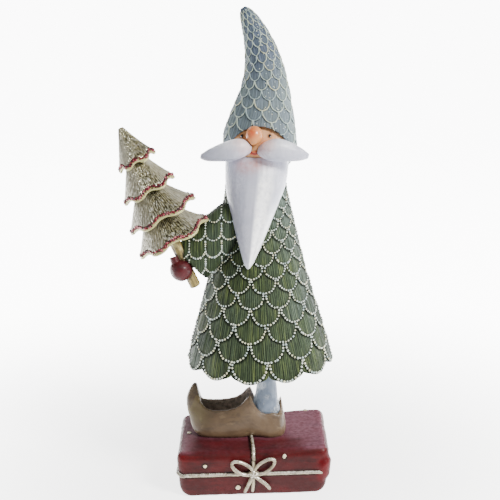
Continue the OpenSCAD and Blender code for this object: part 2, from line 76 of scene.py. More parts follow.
def smooth(a, b, x):
    """0 where x is at a, 1 where it is at b, with an easy slope between them."""
    t = np.clip((x - a) / (b - a), 0, 1)
    return t * t * (3 - 2 * t)


def wobble(p, size, seed):
    """Soft seeded noise, about -1 to 1, at points p (mm), with features about size wide."""
    r = np.random.default_rng(seed)
    waves = 7
    total = np.zeros(len(p))
    for _ in range(waves):
        k = r.normal(size=3)
        k *= FULL / (np.linalg.norm(k) * size * r.uniform(1.2, 2.6))
        total += np.sin(p @ k + r.uniform(0, 6.28))
    return total / waves * 1.6


def spots(co, places, size):
    """Soft round patches at places given as (x, y, z, strength)."""
    total = np.zeros(len(co))
    for x, y, z, power in places:
        total += power * np.exp(-(((co - [x, y, z]) / size) ** 2).sum(1))
    return total


def unit(v):
    v = np.asarray(v, float)
    return v / np.maximum(np.linalg.norm(v, axis=-1, keepdims=True), 1e-9)


def turned(p, angle, a, b):
    """Points turned by an angle from axis a towards axis b."""
    p = np.array(p, float)
    pa, pb = p[..., a].copy(), p[..., b].copy()
    p[..., a] = pa * math.cos(angle) - pb * math.sin(angle)
    p[..., b] = pa * math.sin(angle) + pb * math.cos(angle)
    return p


def shifted(co, axis, amount):
    """Points with one coordinate raised by an amount."""
    co = co.copy()
    co[:, axis] += amount
    return co


def polar(r, angle, z):
    """Points from radius, angle and height."""
    return np.stack([r * np.cos(angle), r * np.sin(angle), z + 0 * angle], -1)


def lengths(line):
    """Distance along a line at each of its points."""
    return np.concatenate([[0], np.cumsum(np.linalg.norm(np.diff(line, axis=0), axis=1))])


def along(stations, u):
    """Smooth curve through rows of stations, u from 0 to 1."""
    s = np.asarray(stations, float)
    n = len(s) - 1
    i = np.clip(np.floor(u * n).astype(int), 0, n - 1)
    t = (u * n - i)[:, None]
    a, b, c, d = s[np.maximum(i - 1, 0)], s[i], s[i + 1], s[np.minimum(i + 2, n)]
    return (2 * b + (c - a) * t + (2 * a - 5 * b + 4 * c - d) * t ** 2
            + (3 * b - a - 3 * c + d) * t ** 3) / 2


def resample(path, step):
    """The same line with points about a step apart."""
    path = np.asarray(path, float)
    d = lengths(path)
    s = np.linspace(0, d[-1], max(2, int(round(d[-1] / step)) + 1))
    return np.stack([np.interp(s, d, path[:, k]) for k in range(3)], 1)


# ---------------- meshes

def place(name, data):
    """A new object in the scene."""
    ob = bpy.data.objects.new(name, data)
    bpy.context.scene.collection.objects.link(ob)
    return ob


def paint(piece, **values):
    """Stores a vector, or a number kept between 0 and 1, per vertex under each name."""
    for name, v in values.items():
        kind, field = ("FLOAT_VECTOR", "vector") if np.ndim(v) == 2 else ("FLOAT", "value")
        if field == "value":
            v = np.clip(v, 0, 1)
        rows = piece.data.attributes.new(name, kind, "POINT").data
        rows.foreach_set(field, np.ascontiguousarray(v, np.float32).ravel())


def make(name, co, faces, **values):
    """A mesh piece from points in millimetres."""
    mesh = bpy.data.meshes.new(name)
    mesh.from_pydata((co * MM).tolist(), [], faces)
    bm = bmesh.new()
    bm.from_mesh(mesh)
    bmesh.ops.recalc_face_normals(bm, faces=bm.faces)
    bm.to_mesh(mesh)
    bm.free()
    mesh.shade_smooth()
    piece = place(name, mesh)
    paint(piece, **values)
    return piece


def points(piece):
    """Vertices (mm) and vertex normals."""
    rows = []
    for field in ("co", "normal"):
        row = np.empty(len(piece.data.vertices) * 3, np.float32)
        piece.data.vertices.foreach_get(field, row)
        rows.append(row.reshape(-1, 3).astype(float))
    return rows[0] / MM, rows[1]


def move(piece, co):
    """Sets the vertices (mm) and returns them with their new normals."""
    piece.data.vertices.foreach_set("co", np.asarray(co * MM, np.float32).ravel())
    piece.data.update()
    return points(piece)


def swell(piece, co, no, amount):
    """Moves each vertex out along its normal by its amount (mm)."""
    return move(piece, co + no * amount[:, None])


def sculpt(node, voxel, soften):
    """A new piece grown from a CAD solid: one even skin with softened edges."""
    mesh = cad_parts[node].data.copy()
    mesh.materials.clear()
    piece = place(node + "_piece", mesh)
    skin = piece.modifiers.new("skin", "REMESH")
    skin.mode = "VOXEL"
    skin.voxel_size = voxel * MM
    piece.modifiers.new("even", "SMOOTH").iterations = soften
    shown = piece.evaluated_get(bpy.context.evaluated_depsgraph_get())
    done = bpy.data.meshes.new_from_object(shown)
    piece.modifiers.clear()
    piece.data = done
    done.shade_smooth()
    return piece, *points(piece)


def hollows(piece, reach):
    """How deep each vertex lies in a hollow, in mm; negative on a ridge."""
    e = np.empty(len(piece.data.edges) * 2, np.int32)
    piece.data.edges.foreach_get("vertices", e)
    a, b = e.reshape(-1, 2).T
    co, no = points(piece)
    n = len(co)
    count = np.bincount(e, minlength=n) + 1.0
    mean = co
    for _ in range(reach):
        total = mean.copy()
        for k in range(3):
            total[:, k] += np.bincount(a, mean[b, k], n) + np.bincount(b, mean[a, k], n)
        mean = total / count[:, None]
    return ((mean - co) * no).sum(1)


def surface(mesh):
    """A mesh's faces, ready to be searched."""
    return BVHTree.FromPolygons([v.co for v in mesh.vertices], [p.vertices for p in mesh.polygons])


def touch(piece, reach, *nodes):
    """1 where the piece touches one of the CAD nodes, falling to 0 away from it."""
    co, _ = points(piece)
    best = np.zeros(len(co))
    for n in nodes:
        tree = surface(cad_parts[n].data)
        lo, hi = (np.array(c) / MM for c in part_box(n))
        for i in np.flatnonzero(((co > lo - 3 * reach) & (co < hi + 3 * reach)).all(1)):
            away = tree.find_nearest(Vector(co[i] * MM), 3 * reach * MM)[3]
            if away is not None:
                best[i] = max(best[i], math.exp(-(away / MM / reach) ** 2))
    return best


def land(tree, start, way, reach=1000.0):
    """Where a ray meets a surface (mm) and the normal there, or None if it misses."""
    spot, normal, _, _ = tree.ray_cast(Vector(start * MM), Vector(way), reach * MM)
    return None if spot is None else (np.array(spot) / MM, np.array(normal))


def skin_faces(rows, cols, closed=False):
    """Faces between rings of points; a closed skin joins its last ring to its first."""
    i, j = np.meshgrid(np.arange(rows if closed else rows - 1), np.arange(cols), indexing="ij")
    a, b, k = i * cols, (i + 1) % rows * cols, (j + 1) % cols
    return np.stack([a + j, a + k, b + k, b + j], -1).reshape(-1, 4).tolist()


def cap_faces(rows, cols):
    """Fans over the first and last ring, to the two end points that follow the rings."""
    last, end = (rows - 1) * cols, rows * cols
    pairs = [(j, (j + 1) % cols) for j in range(cols)]
    return [[end, k, j] for j, k in pairs] + [[end + 1, last + j, last + k] for j, k in pairs]


def tube(path, r, sides, closed=False, up=(0.02, 0.013, 1)):
    """Points and faces of a round tube along a path, with a radius for each of its points."""
    t = unit(np.roll(path, -1, 0) - np.roll(path, 1, 0) if closed else np.gradient(path, axis=0))
    a = unit(np.cross(t, up))
    b = np.cross(a, t)
    q = np.arange(sides)[:, None] * FULL / sides
    ring = np.cos(q) * a[:, None] + np.sin(q) * b[:, None]
    co = (path[:, None] + r[:, None, None] * ring).reshape(-1, 3)
    if closed:
        return co, skin_faces(len(path), sides, True)
    ends = [path[0] - t[0] * r[0] * 0.5, path[-1] + t[-1] * r[-1] * 0.5]
    return np.concatenate([co, ends]), skin_faces(len(path), sides) + cap_faces(len(path), sides)


def gather(name, shapes):
    """One mesh piece from many closed shapes, each given as points and faces."""
    starts = np.cumsum([0] + [len(co) for co, _ in shapes]).tolist()
    faces = [[i + start for i in f] for start, (_, rows) in zip(starts, shapes) for f in rows]
    return make(name, np.concatenate([co for co, _ in shapes]), faces)


def finish_piece(piece, material):
    """Dresses a piece and fixes it to the body; NODE_piece takes the place of a CAD node."""
    node = piece.name.removesuffix("_piece")
    piece.data.materials.clear()
    piece.data.materials.append(material)
    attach(piece, "root")
    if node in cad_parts:
        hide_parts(node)


def beads(name, dabs, radius, flat, rough, material):
    """One piece of small dabs of thick paint, given as places and normals; sizes and tints differ."""
    spot, normals = (np.array(rows, float) for rows in zip(*dabs))
    normals = unit(normals)
    n = len(spot)
    radius = np.broadcast_to(radius, (n,)) * (1 + SEED.normal(0, rough, n).clip(-0.2, 0.2))
    side = unit(np.cross(normals, [0.11, 0.07, 1.0]))
    other = np.cross(normals, side)
    bm = bmesh.new()
    bmesh.ops.create_icosphere(bm, subdivisions=2, radius=1)
    x, y, z = np.array([v.co for v in bm.verts]).T[:, None, :, None]
    ball_faces = np.array([[v.index for v in f.verts] for f in bm.faces])
    bm.free()
    stretch = 1 + SEED.uniform(-0.1, 0.1, (n, 2))
    co = spot[:, None] + radius[:, None, None] * (x * (side * stretch[:, :1])[:, None]
                                                  + y * (other * stretch[:, 1:])[:, None]
                                                  + z * flat * normals[:, None])
    size = x.size
    faces = (ball_faces[None] + (np.arange(n) * size)[:, None, None]).reshape(-1, 3)
    # Each dab is darker towards the surface it sits on: painted shade under the dab.
    piece = make(name, co.reshape(-1, 3), faces.tolist(), tint=np.repeat(SEED.random(n), size),
                 wash=np.tile(smooth(0.25, -0.45, z.ravel()), n))
    finish_piece(piece, material)


# ---------------- materials

class Paint:
    """One procedural material, painted layer over layer. Coordinates are in millimetres."""

    def __init__(self, name, base, rough, metal=0.0, gloss=0.5, coat=0.0):
        self.mat = bpy.data.materials.new(name)
        self.mat.use_nodes = True
        self.t = self.mat.node_tree
        self.bsdf = self.t.nodes["Principled BSDF"]
        self.plug(self.bsdf, {"Roughness": rough, "Metallic": metal, "Specular IOR Level": gloss,
                              "Coat Weight": coat, "Coat Roughness": 0.2})
        self.mm = self.scale(self.node("TexCoord").outputs["Object"], (1000, 1000, 1000))
        self.col = rgb(base)

    def plug(self, node, values):
        """Sets a node's inputs to numbers and colours, or links them to other nodes."""
        sockets = {s.identifier: s for s in node.inputs}
        for key, x in values.items():
            if isinstance(x, (int, float, tuple)):
                sockets[key].default_value = x
            elif x is not None:
                self.t.links.new(x, sockets[key])

    def node(self, kind, values=None, **settings):
        n = self.t.nodes.new("ShaderNode" + kind)
        for key, v in settings.items():
            setattr(n, key, v)
        self.plug(n, values or {})
        return n

    def scale(self, vector, by, turn=(0, 0, 0)):
        n = self.node("Mapping", {"Vector": vector, "Scale": by, "Rotation": turn})
        return n.outputs["Vector"]

    def value(self, name, out="Fac"):
        """What paint() stored under a name."""
        return self.node("Attribute", attribute_name=name).outputs[out]

    def noise(self, size, detail=4.0, rough=0.55, twist=0.0, vector=None):
        n = self.node("TexNoise", {"Vector": self.mm if vector is None else vector,
                                   "Scale": 1.0 / size, "Detail": detail, "Roughness": rough,
                                   "Distortion": twist})
        return n.outputs["Fac"]

    def span(self, x, a, b, lo=0.0, hi=1.0):
        """lo where x is at a, hi where it is at b."""
        n = self.node("MapRange", {"Value": x, "From Min": a, "From Max": b, "To Min": lo,
                                   "To Max": hi}, interpolation_type="SMOOTHSTEP")
        return n.outputs["Result"]

    def math(self, op, a, b=None):
        return self.node("Math", {"Value": a, "Value_001": b}, operation=op).outputs[0]

    def times(self, *parts):
        out = parts[0]
        for x in parts[1:]:
            out = self.math("MULTIPLY", out, x)
        return out

    def layer(self, fac, code, gain=1.0):
        """Paints a colour over the others where fac is above 0."""
        n = self.node("Mix", {"Factor_Float": fac, "A_Color": self.col, "B_Color": rgb(code, gain)},
                      data_type="RGBA")
        self.col = next(o for o in n.outputs if o.identifier == "Result_Color")

    def lines(self, lie, pitch, wander, spread_out):
        """Dark hair lines about pitch apart along the carving, from 0 to 1."""
        x = self.node("SeparateXYZ", {"Vector": lie}).outputs["X"]
        wave = self.math("ADD", self.times(x, FULL / pitch), self.times(wander, spread_out))
        return self.times(self.span(self.math("SINE", wave), -0.2, -0.7),
                          self.span(self.noise(2.2, 3, 0.6), 0.25, 0.5, 0.35, 1.0))

    def finish(self, rough=None, bump=None, strength=0.3, depth=0.2, metal=None):
        """Links colour, roughness, metal and a bump of a depth in mm to the shader."""
        self.plug(self.bsdf, {"Base Color": self.col, "Roughness": rough, "Metallic": metal})
        if bump is not None:
            n = self.node("Bump", {"Strength": strength, "Distance": depth * MM, "Height": bump})
            self.plug(self.bsdf, {"Normal": n.outputs["Normal"]})
        return self.mat


def resin(name, base, alt, wash, light, rough=0.45, blotch=14, brush=(1, 1, 1), brush_size=2.0,
          wash_and_shade_power=0.9, light_power=0.5, brush_power=0.35, gloss=0.45, coat=0.0, extra=(), bump=0.25):
    """Hand-painted resin: blotched colour, brush strokes, dark antiquing and painted shade in the hollows and
    where parts meet, and worn edges with painted highlights.
    """
    m = Paint(name, base, rough, gloss=gloss, coat=coat)
    m.layer(m.span(m.noise(blotch, 3, 0.5, 0.6), 0.36, 0.66), alt)
    strokes = m.noise(brush_size, 5, 0.62, 0.3, m.scale(m.mm, brush))
    m.layer(m.span(strokes, 0.5, 0.28, 0, brush_power), wash)
    flecks = m.noise(brush_size * 0.8, 4, 0.6, 0.2, m.scale(m.mm, brush, (0.4, 0.2, 0.1)))
    m.layer(m.span(flecks, 0.56, 0.74, 0, brush_power * 0.6), light)
    broken = m.span(m.noise(1.6, 5, 0.7), 0.25, 0.7, 0.45, 1.15)
    # Darker where the mask is set: antiquing in hollows and painted shade where parts meet.
    m.layer(m.times(m.value("wash"), broken, wash_and_shade_power), wash)
    # Lighter where the second mask is set: worn edges, and on the cords a painted highlight.
    m.layer(m.times(m.value("wear"), m.span(m.noise(1.1, 4, 0.7), 0.35, 0.65), light_power), light)
    for attribute, tone, power in extra:
        dabbed = m.span(m.noise(2.6, 4, 0.6), 0.2, 0.75, 0.35, 1.1)
        m.layer(m.times(m.value(attribute), dabbed, power), tone)
    shine = m.span(m.noise(3.0, 4, 0.6), 0.2, 0.8, rough - 0.1, rough + 0.13)
    fine = m.math("ADD", m.times(strokes, 0.7), m.times(m.noise(0.5, 3, 0.6), 0.5))
    return m.finish(shine, fine, bump, 0.25)


def cloth(name, deep, leaf, gold, haze, grey, grain=1.0, hair=0.9):
    """Carved and dry-brushed scales: each scale has its own tint and long grooves."""
    m = Paint(name, leaf, 0.5, gloss=0.12)
    lie = m.value("lie", "Vector")
    m.layer(m.span(m.value("tile"), 0.1, 0.95), haze)
    streak = m.noise(1.0, 4, 0.6, 0.15, m.scale(lie, (1.9, 0.06, 1)))
    wide = m.noise(1.0, 3, 0.5, 0.2, m.scale(lie, (0.5, 0.05, 1)))
    m.layer(m.span(wide, 0.48, 0.7, 0, 0.7), gold)
    # The tone layer holds random tints and, on the coat and hat, a painted sheen on the sides turned from the
    # front.
    m.layer(m.times(m.span(m.value("tone"), 0.45, 1.0), 0.55), grey)
    m.layer(m.span(streak, 0.5, 0.42, 0, 0.6 * grain), deep)
    m.layer(m.span(streak, 0.58, 0.68, 0, 0.45 * grain), gold)
    # The pale layer is, on the coat, a painted highlight high on the right.
    m.layer(m.times(m.value("pale"), 0.6), grey)
    hairs = m.lines(lie, 1.25, wide, 9)
    m.layer(m.times(hairs, hair), deep, 0.8)
    # Painted shade on the faces turned to the left.
    m.layer(m.times(m.value("dim"), 0.8), deep)
    m.layer(m.times(m.value("groove"), 0.6 * grain), deep)
    m.layer(m.span(m.noise(0.9, 5, 0.7), 0.6, 0.78, 0, 0.3), grey)
    # Darker under the scales' edges and inside: antiquing and painted shade.
    m.layer(m.times(m.value("wash"), m.span(m.noise(1.3, 4, 0.7), 0.2, 0.7, 0.6, 1.15)), deep, 0.55)
    shine = m.span(m.noise(2.4, 4, 0.6), 0.2, 0.8, 0.42, 0.66)
    fine = m.math("ADD", streak, m.times(m.noise(0.45, 3, 0.6), 0.35))
    return m.finish(shine, m.math("SUBTRACT", fine, m.times(hairs, 0.6 * hair)), 0.55, 0.3)


def bead_paint(name, pale, warm, cool, dark, rough=0.35):
    """Thick pale paint whose dabs differ a little in colour."""
    m = Paint(name, pale, rough)
    tint = m.value("tint")
    m.layer(m.span(tint, 0.55, 1.0), warm)
    m.layer(m.span(tint, 0.45, 0.0), cool)
    m.layer(m.span(m.noise(0.9, 4, 0.6), 0.55, 0.75, 0, 0.35), warm)
    m.layer(m.times(m.value("wash"), 0.75), dark)
    return m.finish(m.span(m.noise(0.8, 3), 0.2, 0.8, rough - 0.08, rough + 0.15),
                    m.noise(0.35, 3), 0.3, 0.1)


# ---------------- camera, light and floor

low, high = cad_box
middle = (low + high) / 2
camera_data = bpy.data.cameras.new("camera")
camera_data.sensor_width = 36
camera_data.lens = 77.3568
camera = place("camera", camera_data)
RIGHT, BACK, UP, DOWNWARD = 0.0125, 0.6565, 0.3285, 0.26
camera.location = (middle.x + RIGHT, middle.y - BACK, low.z + UP)
camera.rotation_euler = (math.pi / 2 - DOWNWARD, 0, 0)
bpy.context.scene.camera = camera

# name, place, size, power and colour
LAMPS = [("key", (0.8, -0.7, 0.95), 0.42, 34, (1, 0.985, 0.96)),
         ("fill", (-0.9, -0.6, 0.55), 0.8, 1.0, (0.95, 0.97, 1)),
         ("rim", (-0.35, 0.85, 0.8), 0.6, 6, (1, 1, 1)),
         ("kicker", (0.9, 0.5, 0.5), 0.5, 4, (1, 1, 1))]
for name, spot, size, power, tint in LAMPS:
    light = bpy.data.lights.new(name, "AREA")
    light.shape = "DISK"
    light.size = size
    light.energy = power
    light.color = tint
    lamp = place(name, light)
    lamp.location = spot
    lamp.rotation_euler = (Vector((0, 0, 0.15)) - Vector(spot)).to_track_quat("-Z", "Y").to_euler()

world = bpy.data.worlds.new("studio")
world.use_nodes = True
sky = world.node_tree.nodes["Background"]
sky.inputs["Color"].default_value = (0.98, 0.99, 1, 1)
sky.inputs["Strength"].default_value = 0.4
bpy.context.scene.world = world

floor_mesh = bpy.data.meshes.new("floor")
FAR_OFF = 20
corners = [(-FAR_OFF, -FAR_OFF, 0), (FAR_OFF, -FAR_OFF, 0), (FAR_OFF, FAR_OFF, 0), (-FAR_OFF, FAR_OFF, 0)]
floor_mesh.from_pydata(corners, [], [(0, 1, 2, 3)])
floor = place("floor", floor_mesh)
floor.location.z = low.z - 0.00005
ground = Paint("floor_pale", "#f4f4f3", 0.65, gloss=0.2)
ground.layer(ground.noise(400, 2), "#f8f8f7")
away = ground.node("VectorMath", {"Vector": ground.mm}, operation="LENGTH").outputs["Value"]
ahead = ground.node("SeparateXYZ", {"Vector": ground.mm}).outputs["Y"]
glow = ground.times(ground.span(away, 60, 440, 3.0, 10.0), ground.span(ahead, -150, -40, 0.03, 1.0))
ground.plug(ground.bsdf, {"Emission Color": (1, 1, 1, 1), "Emission Strength": glow})
floor.data.materials.append(ground.finish())
floor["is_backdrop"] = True


# ---------------- parcel, cords and dots

PARCEL_W, PARCEL_D, PARCEL_H, CORNER, TAPER = 97.0, 65.0, 30.0, 5.0, 1.0
CORD_R, BAND_Z, CROSS_X, TURN = 1.25, 15.0, -2.0, math.radians(3.7)
KNOT = np.array([CROSS_X, -PARCEL_D / 2 - 1.4, BAND_Z + 0.8])


def on_parcel(p):
    """From the parcel's own frame to the shared one."""
    return turned(p, TURN, 0, 1)


def raise_corner(co):
    """The hand-made block's top rises a little at its right end."""
    return shifted(co, 2, 1.9 * smooth(16, 29, co[:, 2]) * smooth(4, 46, co[:, 0]))


parcel, co, no = sculpt("parcel_shell", 0.75, 4)
co = raise_corner(co)
blob = [(*on_parcel([PARCEL_W / 2 - 2.5, -PARCEL_D / 2 + 2.5, 17]), 1)]
lump = smooth(0.3, 0.75, spots(co, blob, [7.5, 8, 9]) + 0.08 * wobble(co, 5, 9))
uneven = 0.22 * wobble(co, 16, 3) + 0.07 * wobble(co * [1, 1, 2.4], 4, 4)
co, no = swell(parcel, co, no, 1.9 * lump + uneven)
x, y, z = co.T
cords = touch(parcel, 0.9, "cord_band", "cord_cross", "bow_loops", "bow_tails", "bow_knot")
front_left = (smooth(-8, -17, y + 1.5 * wobble(co, 8, 6)) * smooth(38, 26, x) * smooth(-44, -36, x))
paint(parcel, low=smooth(17, 5, z),
      # Darker along the cords, round the dots, where the shoe stands and by the floor: antiquing and painted
      # shade.
      wash=1.1 * cords * (1 - lump) + 0.9 * touch(parcel, 1.5, "shoe")
      + 0.95 * touch(parcel, 0.75, "snow_dots") + 0.8 * smooth(3.2, 1.0, z),
      wear=smooth(0.05, 0.4, -hollows(parcel, 12)),
      # Painted sheen on the top face, stronger to the right and weaker at the front left.
      above=smooth(0.6, 0.95, no[:, 2]) * smooth(10, 28, z) * (0.62 + 0.38 * smooth(0, 30, x))
      * (1 - 0.75 * front_left),
      bright=smooth(0.25, 0.6, spots(co, blob, [8, 9, 10]) + 0.12 * wobble(co, 6, 7))
      + 0.6 * spots(co, [(18, -13, 30, 1)], 5))
# The mauve layer is the painted sheen on the top face.
red = resin("parcel_red_paint", "#5c0f12", "#480a0c", "#1a0605", "#7d151a", 0.45, 22,
            (0.16, 0.4, 0.8), 4.2, 0.92, 0.5, 0.6, 0.15, 0.03,
            [("above", "#946a78", 0.85), ("low", "#3c090b", 0.6), ("bright", "#66050f", 1.0)])
finish_piece(parcel, red)


def band_line():
    """The cord round the parcel's four sides."""
    line = []
    for sx, sy, start in ((1, -1, -90), (1, 1, 0), (-1, 1, 90), (-1, -1, 180)):
        for i in range(7):
            q = math.radians(start + 15 * i)
            skew = sy * (PARCEL_D / 2 - CORNER) * math.tan(TURN)
            line.append([sx * (PARCEL_W / 2 - TAPER / 2 - CORNER) + (CORNER + 0.2) * math.cos(q) + skew,
                         sy * (PARCEL_D / 2 - TAPER / 2 - CORNER) + (CORNER + 0.2) * math.sin(q),
                         BAND_Z + 0.4 * math.sin(4 * q)])
    line.append(line[0])
    return resample(line, 0.7)[:-1]


def cross_line():
    """The cord up the front, over the top and down the back."""
    y, z, s = PARCEL_D / 2 - CORNER, PARCEL_H - CORNER, CORNER + 0.9
    arcs = [math.radians(15 * i) for i in range(7)]
    line = [[CROSS_X - 0.4, -y - s + TAPER + 1.3, 2.4], [CROSS_X - 0.3, -y - s + TAPER, 6]]
    line += [[CROSS_X, -y - s * math.cos(q), z + s * math.sin(q)] for q in arcs]
    line += [[CROSS_X, y + s * math.cos(q), z + s * math.sin(q)] for q in reversed(arcs)]
    line += [[CROSS_X - 0.3, y + s - TAPER, 6], [CROSS_X - 0.4, y + s - TAPER - 1.3, 2.4]]
    return resample(line, 0.7)


def loop_line(s):
    """One loop of the bow, to the left (-1) or right (1)."""
    q = np.radians(np.linspace(14, 346, 60))
    r = np.sin(q / 2)
    flat = np.stack([1 + 15 * r * r, -0.3 - 0.9 * r, 3.5 * np.sin(q)], 1)
    return KNOT + turned(flat, math.radians(31 if s < 0 else 37), 0, 2) * [s, 1, 1]


def tail_line(rows, count):
    return along(KNOT + np.array(rows), np.linspace(0, 1, count))


def cord_piece(node, r, *lines, closed=False):
    """Cords of radius r along lines given in the parcel's own frame."""
    shapes = []
    for n, line in enumerate(lines):
        line = on_parcel(line)
        if not closed:
            line = line + 0.12 * np.stack([wobble(line, 7, 20 + n + k) for k in range(3)], 1)
        radius = r * (0.93 + 0.07 * wobble(line, 6, 40 + n))
        if not closed:
            ends = np.minimum(np.arange(len(line)), np.arange(len(line))[::-1])
            radius = radius * (0.72 + 0.28 * smooth(0, 2.2, ends))
        shapes.append(tube(line, radius, 14, closed))
    piece = gather(node + "_piece", shapes)
    co, no = points(piece)
    co, no = swell(piece, co, no, 0.06 * wobble(co, 2.2, 60))
    # Darker against the parcel and the knot as painted shade, with random stains; lighter on faces turned up,
    # forward and right as a painted highlight.
    paint(piece, wash=touch(piece, 0.42, "parcel_shell", "bow_knot") + 0.55 * smooth(0, 1, wobble(co, 5, 71)),
          wear=smooth(0.45, 0.95, 0.25 * no[:, 0] - no[:, 1] * 0.4 + no[:, 2] * 0.8))
    finish_piece(piece, cream)


cream = resin("cord_cream_paint", "#b3aa94", "#978c74", "#38241a", "#fffdf4", 0.26, 6,
              (0.4, 0.4, 0.4), 1.4, 0.95, 0.9, 0.5, 0.6, 0.2)
cream.node_tree.nodes["Principled BSDF"].inputs["Metallic"].default_value = 0.35
cord_piece("cord_band", CORD_R, band_line(), closed=True)
cord_piece("cord_cross", CORD_R, cross_line())
cord_piece("bow_loops", CORD_R - 0.05, loop_line(-1), loop_line(1))
cord_piece("bow_tails", CORD_R - 0.02,
           tail_line([[-0.6, -0.2, -1.5], [-2.4, -1, -4.6], [-4.3, -0.8, -8.8], [-5.8, -0.3, -12.4]], 24),
           tail_line([[0.6, -0.2, -1.5], [4.6, -1, -4.4], [8.2, -0.8, -7.6], [10.5, -0.3, -10.7]], 26))

knot, co, no = sculpt("bow_knot", 0.28, 3)
right, up = co[:, 0] - on_parcel(KNOT)[0], co[:, 2] - KNOT[2]
fold = 0.28 * np.sin(5 * np.arctan2(up, right)) * smooth(0, 1.2, np.hypot(right, up))
swell(knot, co, no, fold + 0.12 * wobble(co, 2, 5))
deep = hollows(knot, 5)
# Darker in the knot's hollows and against the parcel: antiquing and painted shade.
paint(knot, wash=1.3 * smooth(0.0, 0.16, deep) + 0.9 * touch(knot, 0.6, "parcel_shell"),
      wear=smooth(-0.02, -0.14, deep))
finish_piece(knot, cream)

dots, co, no = sculpt("snow_dots", 0.3, 3)
co = raise_corner(co)
swell(dots, co, no, 0.08 * wobble(co, 1.6, 8))
# Darker where each dot meets the parcel: antiquing and painted shade.
paint(dots, wash=touch(dots, 0.22, "parcel_shell"), wear=smooth(0.3, 0.9, wobble(co, 3, 9)))
snow = resin("dot_cream_paint", "#e2d9c2", "#cfc3a5", "#57382c", "#fbf8ee", 0.4, 4,
             (1, 1, 1), 1.2, 0.8, 0.7, 0.3)
finish_piece(dots, snow)


# ---------------- shoe and leg

shoe, co, no = sculpt("shoe", 0.5, 5)
x, y, z = co.T
drop = (1.5 * smooth(37.5, 30.8, z) * smooth(2, 6, np.abs(y))
        + 1.3 * smooth(-1, -8, y) * smooth(37, 46, z) * smooth(0, -10, x) * smooth(-34, -28, x)
        + smooth(-1, -4.5, y) * 0.62 * smooth(41, 49, z) * (z - 43).clip(0) * smooth(11.5, 16, x))
ahead = 2.2 * smooth(43, 33, z) * smooth(-22, -33, x)
toe = 0.75 * smooth(48, 55, z) * smooth(-28, -33, x)
co = np.stack([x - ahead, y * (1 + 0.09 * smooth(39, 31, z)), np.maximum(z - drop, 29.9)], 1)
co, no = swell(shoe, co, no, toe + 0.16 * wobble(co, 11, 11) + 0.05 * wobble(co, 3, 12))
x, y, z = co.T
rim = -hollows(shoe, 9)
# The shoe's inside is painted lighter, as painted light where the coat's shadow falls, and gets less
# darkening.
inside = (smooth(31.5, 36, z) * smooth(0.25, -0.35, no[:, 1] * np.sign(y + 1e-6))
          * smooth(11.6, 9.6, np.abs(y)))
# Painted shade on the far face of the toe's curl.
fold = (np.maximum(smooth(0.5, -0.5, x + 41.0 - 0.43 * (z - 48.6)), smooth(56.3, 57.3, z))
        * smooth(47.5, 49.5, z) * smooth(-30, -33, x))
# Darker against the leg, in the hollows and along the sole where it meets the parcel: painted shade.
paint(shoe, wear=smooth(0.12, 0.5, rim), within=inside, fold=fold,
      wash=(0.95 * touch(shoe, 1.3, "stocking_leg") + 0.3 * smooth(0.1, 0.5, -rim)) * (1 - 0.8 * inside)
      + 0.85 * smooth(30.9, 30.2, z),
      olive=smooth(-24, -36, x) * smooth(34, 44, z))
brown = resin("shoe_brown_paint", "#836e55", "#735f48", "#2f241b", "#b5a385", 0.42, 18,
              (0.35, 1, 0.8), 3.5, 0.9, 0.75, 0.4, 0.45, 0.1,
              [("within", "#d2c6bc", 1.0), ("olive", "#7a713f", 0.55), ("fold", "#5c4c3c", 0.9)], 0.22)
finish_piece(shoe, brown)

leg, co, no = sculpt("stocking_leg", 0.5, 4)
flare = 2.4 * smooth(58, 46, co[:, 2]) * smooth(8, 14, co[:, 0]) * smooth(0, -3.5, co[:, 1])
co = shifted(co, 0, flare)
co, no = swell(leg, co, no, 0.2 * wobble(co, 7, 14) + 0.1 * wobble(co * [1, 1, 0.4], 2.2, 15))
stains = smooth(0.35, 1.0, wobble(co, 3.4, 16)) * smooth(68, 50, co[:, 2])
# Darker where the leg meets the shoe, as painted shade, and in random stains.
paint(leg, wash=0.75 * touch(leg, 1.1, "shoe") + 0.75 * stains,
      wear=smooth(0.1, 0.8, wobble(co, 5, 17)), shade=smooth(62, 80, co[:, 2]))
stocking = resin("stocking_paint", "#9ba7b8", "#8793a5", "#5d666f", "#e9edf0", 0.5, 7,
                 (1, 1, 0.35), 1.8, 0.75, 0.6, 0.4, 0.4, 0, [("shade", "#8f9aa6", 0.4)], 0.35)
finish_piece(leg, stocking)


# ---------------- coat

HEM_Z, HEM_R, COAT_X, COLLAR_Z, LEAN = 81.5, 46.0, 4.3, 200.0, math.radians(1.35)
# height, and radius as a share of the hem's
COAT = np.array([[81.5, 1], [96, 0.929], [110, 0.842], [124, 0.755], [140, 0.657],
                 [157, 0.572], [173, 0.499], [190, 0.418], [200, 0.393]])
SCALLOPS, HALF, STEPS = 12, 27, 7
START = math.radians(-98.5)


def coat_r(z):
    return np.interp(z, COAT[:, 0], COAT[:, 1]) * HEM_R


def on_coat(angle, z, out):
    """A point on the leaning coat, by its angle, height and distance outside the cone."""
    p = polar(coat_r(z) + out, angle, z) - [0, 0, HEM_Z]
    return turned(p, LEAN, 0, 2) + [COAT_X, 0, HEM_Z]


ROW = [HEM_Z]
while ROW[-1] < COLLAR_Z - 2:
    ROW.append(ROW[-1] + 0.262 * float(coat_r(ROW[-1])))
ROW.pop()
ROWS = len(ROW)
PITCH = np.diff(ROW + [COLLAR_Z + 4])


def across(c, k):
    """Place across a scale, -1 to 1; rows alternate by half a scale."""
    return 2 * np.mod(c + 0.5 * ((k + 1) % 2), 1.0) - 1


def arc(t):
    return 1 - np.sqrt(np.maximum(0, 1 - t * t))


